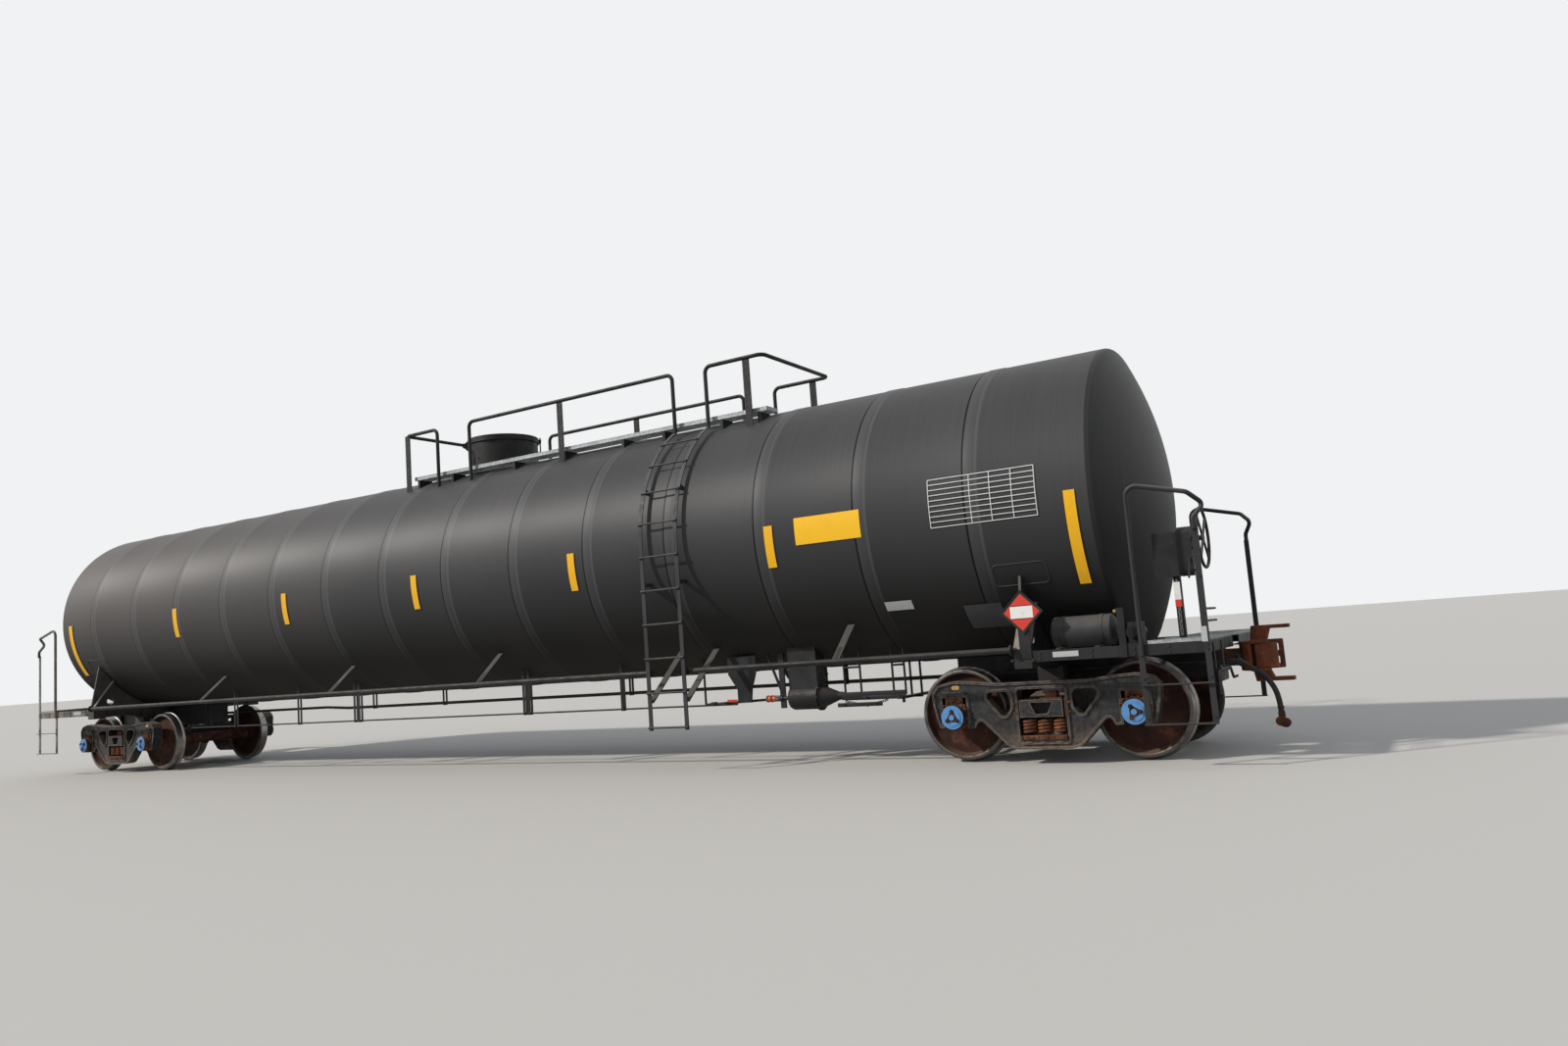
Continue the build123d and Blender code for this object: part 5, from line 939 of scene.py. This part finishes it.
for name, material, half, rows, lift in (
        ("placard_border", grip_black, 0.186, [(-0.186, 0.186)], 0.0002),
        ("placard_field", red_enamel, 0.172, [(-0.172, 0.172)], 0.001),
        ("placard_bars", grip_black, 0.168, [(0.058, 0.064), (-0.064, -0.058)], 0.0018)):
    shape = bmesh.new()
    for low, high in rows:
        diamond(shape, half, low, high, lift)
    thicken(shape, shape.faces[:], (0, -0.0006, 0))
    tidy(shape, 1e-6)
    put(name, shape, material, twin=half_turn)
shape = bmesh.new()
block(shape, (placard_x - 0.108, -placard_face - 0.0024, placard_height - 0.055),
      (placard_x + 0.108, -placard_face - 0.0018, placard_height + 0.055))
put("placard_band", shape, blank_white, twin=half_turn)


# Brake gear: pins on the levers, bolts round the cylinder's cover, the banded push rod and the chains
rigging_height = rail + 0.655
cylinder_y = -0.750
cylinder_height = rail + 0.700
lever_place = truck_x - 1.590
pins = ((-lever_place, cylinder_y), (lever_place, cylinder_y), (-lever_place, -0.060), (lever_place, 0.060))
cover_x, cover_ring, cover_bolts = 5.506, 0.142, 8
link_length, link_bar, link_pitch = 0.036, 0.0045, 0.74


def gear_rod(shape, start, stop, radius, shift=0.0, sides=12):
    """A rod beside the cylinder between two points, given as places along the car and heights above the rail."""
    rod(shape, *[(x, cylinder_y + shift, rail + z) for x, z in (start, stop)], radius, sides)


def gear_block(shape, low, high, near, far, bevel=0.0):
    """A box beside the cylinder between two such points, from one depth to another."""
    block(shape, (low[0], cylinder_y + near, rail + low[1]), (high[0], cylinder_y + far, rail + high[1]), bevel)


def chain(shape, *points):
    """Oval links set crosswise along a line."""
    legs = [(Vector(a), Vector(b)) for a, b in zip(points, points[1:])]
    length = sum((b - a).length for a, b in legs)
    count = max(2, int(length / (link_length * link_pitch)))
    half, wide = link_length / 2 - link_bar, link_length * 0.30
    for k in range(count):
        run = length * (k + 0.5) / count
        for a, b in legs:
            if run <= (b - a).length:
                break
            run -= (b - a).length
        forward = (b - a).normalized()
        place = a + forward * run
        sideways = forward.orthogonal().normalized()
        if k % 2:
            sideways = forward.cross(sideways)
        for s in (-1, 1):
            side, tip = place + sideways * wide * s, place + forward * half * s
            rod(shape, side - forward * half * 0.8, side + forward * half * 0.8, link_bar, sides=6)
            rod(shape, tip - sideways * wide, tip + sideways * wide, link_bar, sides=6)


shape = bmesh.new()
for x, y in pins:
    for low, high, radius, sides in ((-0.055, 0.055, 0.016, 12), (0.030, 0.042, 0.028, 16)):
        rod(shape, (x, y, rigging_height + low), (x, y, rigging_height + high), radius, sides)
for x in (4.793, 4.848):
    gear_rod(shape, (x, 0.700), (x + 0.022, 0.700), 0.039, sides=24)
for turn in range(cover_bolts):
    angle = radians(turn * 360 / cover_bolts)
    foot = (cover_x, cylinder_y + cover_ring * cos(angle), cylinder_height + cover_ring * sin(angle))
    bolts(shape, [foot], 0.009, 0.012, (1, 0, 0))
put("brake_pins", shape, rust_brown, smooth=50)

for name, material, start, stop, radius in (("push_rod_band", orange_enamel, 4.806, 4.905, 0.0355),
                                            ("push_rod_sleeve", blank_white, 4.905, 4.960, 0.034)):
    shape = bmesh.new()
    gear_rod(shape, (start, 0.700), (stop, 0.700), radius, sides=24)
    put(name, shape, material, smooth=50)

shape = bmesh.new()
chain(shape, (5.790, cylinder_y, rigging_height - 0.02), (6.05, cylinder_y, rigging_height - 0.075),
      (6.30, cylinder_y, rigging_height - 0.02))
chain(shape, (9.44, -1.06, rail + 1.62), (9.44, -1.06, rail + 1.12))
put("brake_chains", shape, galvanised_chain, smooth=50)


# Wide flats on the braces of the side pipes and the ladders
brace_width = 0.082
brace_depth = 0.013
pipe_braces = ((-4.930, -1.880, 1.000, 6.110), (-1.529, rail + 1.082), (-1.083, rail + 1.456))
ladder_braces = ((3.780, 4.270), (-1.594, rail + 0.762), (-0.895, rail + 1.342))
shape = bmesh.new()
for places, foot, head in (pipe_braces, ladder_braces):
    way = Vector((0, head[0] - foot[0], head[1] - foot[1]))
    turn = Matrix.Rotation(atan2(way.z, way.y), 4, "X")
    for place in places:
        middle = Vector((place, (foot[0] + head[0]) / 2, (foot[1] + head[1]) / 2))
        bmesh.ops.create_cube(shape, size=1.0, matrix=Matrix.Translation(middle) @ turn
                              @ Matrix.Diagonal((brace_width, way.length, brace_depth, 1.0)))
put("brace_flats", shape, ladder_grey, twin=across)


# Fulcrum gusset, the guide frames and levers beside the cylinder, and the tags
gusset_outline = ((4.325, 1.200), (4.325, 1.000), (4.440, 0.830), (4.440, 0.672), (4.625, 0.672), (4.645, 0.830),
                  (4.705, 1.000), (4.705, 1.200))
tag_left, tag_right = 9.412, 9.468
shape = bmesh.new()
plate(shape, [(x, cylinder_y - 0.075, rail + z) for x, z in gusset_outline], (0, 0.012, 0))
bmesh.ops.recalc_face_normals(shape, faces=shape.faces)
for left, right in ((5.815, 6.010), (6.395, 6.535)):
    for start, stop in (((left, 0.690), (left, 1.205)), ((right, 0.690), (right, 1.205)),
                        ((left, 0.700), (right, 0.700)), ((left, 1.000), (right, 1.000))):
        gear_rod(shape, start, stop, 0.012, shift=-0.03)
for left, right, height, bolt in ((5.720, 6.260, 0.600, 5.80), (6.020, 6.545, 0.668, 6.08)):
    gear_block(shape, (left, height - 0.022), (right, height + 0.022), -0.060, -0.046, 0.004)
    bolts(shape, [(x, cylinder_y - 0.060, rail + height) for x in (bolt, bolt + 0.38)], 0.018, 0.016)
# The cylinder's lever beam, the rod from it to the fulcrum with its clevis, the hanger and the bracket's strut
gear_block(shape, (5.768, 0.652), (6.533, 0.735), -0.044, -0.030, 0.004)
gear_rod(shape, (4.030, 0.668), (4.800, 0.692), 0.015)
gear_block(shape, (4.015, 0.645), (4.090, 0.692), -0.025, 0.025, 0.006)
gear_rod(shape, (3.937, 1.205), (3.937, 0.662), 0.013)
gear_rod(shape, (3.930, 0.668), (4.030, 0.668), 0.013)
gear_rod(shape, (4.825, 1.200), (5.010, 0.720), 0.016)
put("brake_guides", shape, frame_black, smooth=50)

shape = bmesh.new()
gear_block(shape, (4.300, 0.690), (4.440, 0.716), -0.090, -0.088)
block(shape, (tag_left, -1.075, rail + 1.375), (tag_right, -1.073, rail + 1.440))
put("red_tags", shape, red_enamel)

shape = bmesh.new()
block(shape, (tag_left, -1.075, rail + 1.440), (tag_right, -1.073, rail + 1.600))
rod(shape, (9.440, -1.074, rail + 1.600), (9.440, -1.060, rail + 1.625), 0.003, sides=6)
put("white_tag", shape, blank_white)


# Hand brake: release lever, blank plate and cover bolts; end handholds across the corner
gear_face = 9.625
wheel_y = -1.080
shape = bmesh.new()
bolts(shape, [(gear_face, wheel_y + y, rail + z) for y in (-0.085, 0.085) for z in (1.685, 1.885)],
      0.011, 0.009, (1, 0, 0))
rod(shape, (9.600, wheel_y - 0.12, rail + 1.80), (9.600, wheel_y - 0.24, rail + 1.62), 0.009)
for height in (rail + 1.34, rail + 1.235):
    rod(shape, (9.725, -1.478, height), (9.725, -0.96, height), 0.010)
    rod(shape, (9.725, -0.96, height), (9.665, -0.93, height), 0.010)
put("hand_brake_fittings", shape, frame_black, smooth=50)

shape = bmesh.new()
block(shape, (gear_face, wheel_y - 0.050, rail + 1.70), (gear_face + 0.002, wheel_y + 0.050, rail + 1.755))
put("hand_brake_plate", shape, pale_plate)


# Air line: a nipple and a clamp with its ear at the hose's mouth, and a clamp at its lower end
mouth = Vector(hose_points[0])
mouth_way = Vector((cos(radians(30)), 0, -sin(radians(30))))
clamp = mouth + mouth_way * 0.031
lower = Vector((10.1053, -0.430, rail + 0.3913))
shape = bmesh.new()
rod(shape, mouth - mouth_way * 0.012, mouth + mouth_way * 0.010, 0.034, sides=6)
rod(shape, clamp - mouth_way * 0.009, clamp + mouth_way * 0.009, 0.0285, sides=24)
block(shape, clamp + Vector((-0.006, -0.046, -0.008)), clamp + Vector((0.006, -0.026, 0.008)), 0.002)
rod(shape, lower - upwards * 0.004, lower + upwards * 0.016, 0.0285, sides=24)
block(shape, lower + Vector((-0.008, -0.046, 0.0)), lower + Vector((0.008, -0.026, 0.012)), 0.002)
put("hose_clamps", shape, rust_brown, twin=half_turn, smooth=50)


# Floor, light and world: a pale studio with one soft key light from the front left
def make_studio():
    floor_shape = bmesh.new()
    bmesh.ops.create_circle(floor_shape, cap_ends=True, radius=600, segments=64)
    mesh = bpy.data.meshes.new("floor")
    floor_shape.to_mesh(mesh)
    floor_shape.free()
    floor = placed("floor", mesh)
    made, tree = new_material("pale_studio_floor")
    finish_material(made, Base_Color=linear("#c4c1bc"), Roughness=0.95, Specular_IOR_Level=0.1)
    mesh.materials.append(made)
    world = bpy.data.worlds.new("studio")
    bpy.context.scene.world = world
    world.use_nodes = True
    tree = world.node_tree
    tree.nodes.clear()
    light = add(tree, "Background", {"Color": linear("#e3e9f2"), "Strength": 0.62})
    seen = add(tree, "Background", {"Color": linear("#f1f2f3"), "Strength": 1.0})
    ray = add(tree, "LightPath").outputs
    either = add(tree, "Math", {0: ray["Is Camera Ray"], 1: ray["Is Glossy Ray"]}, operation="MAXIMUM")
    any_ray = add(tree, "Math", {0: either.outputs[0], 1: ray["Is Transmission Ray"]}, operation="MAXIMUM")
    both = add(tree, "MixShader", {0: any_ray.outputs[0], 1: light.outputs[0], 2: seen.outputs[0]})
    add(tree, "OutputWorld", {"Surface": both.outputs[0]})
    sun = placed("key", bpy.data.lights.new("key", "SUN"))
    sun.data.energy = 3.0
    sun.data.angle = radians(2.5)
    sun.data.color = (1.0, 0.96, 0.9)
    sun.matrix_world = along((-0.62, -0.56, 0.55))
    bpy.context.scene.view_settings.view_transform = "Standard"


make_studio()
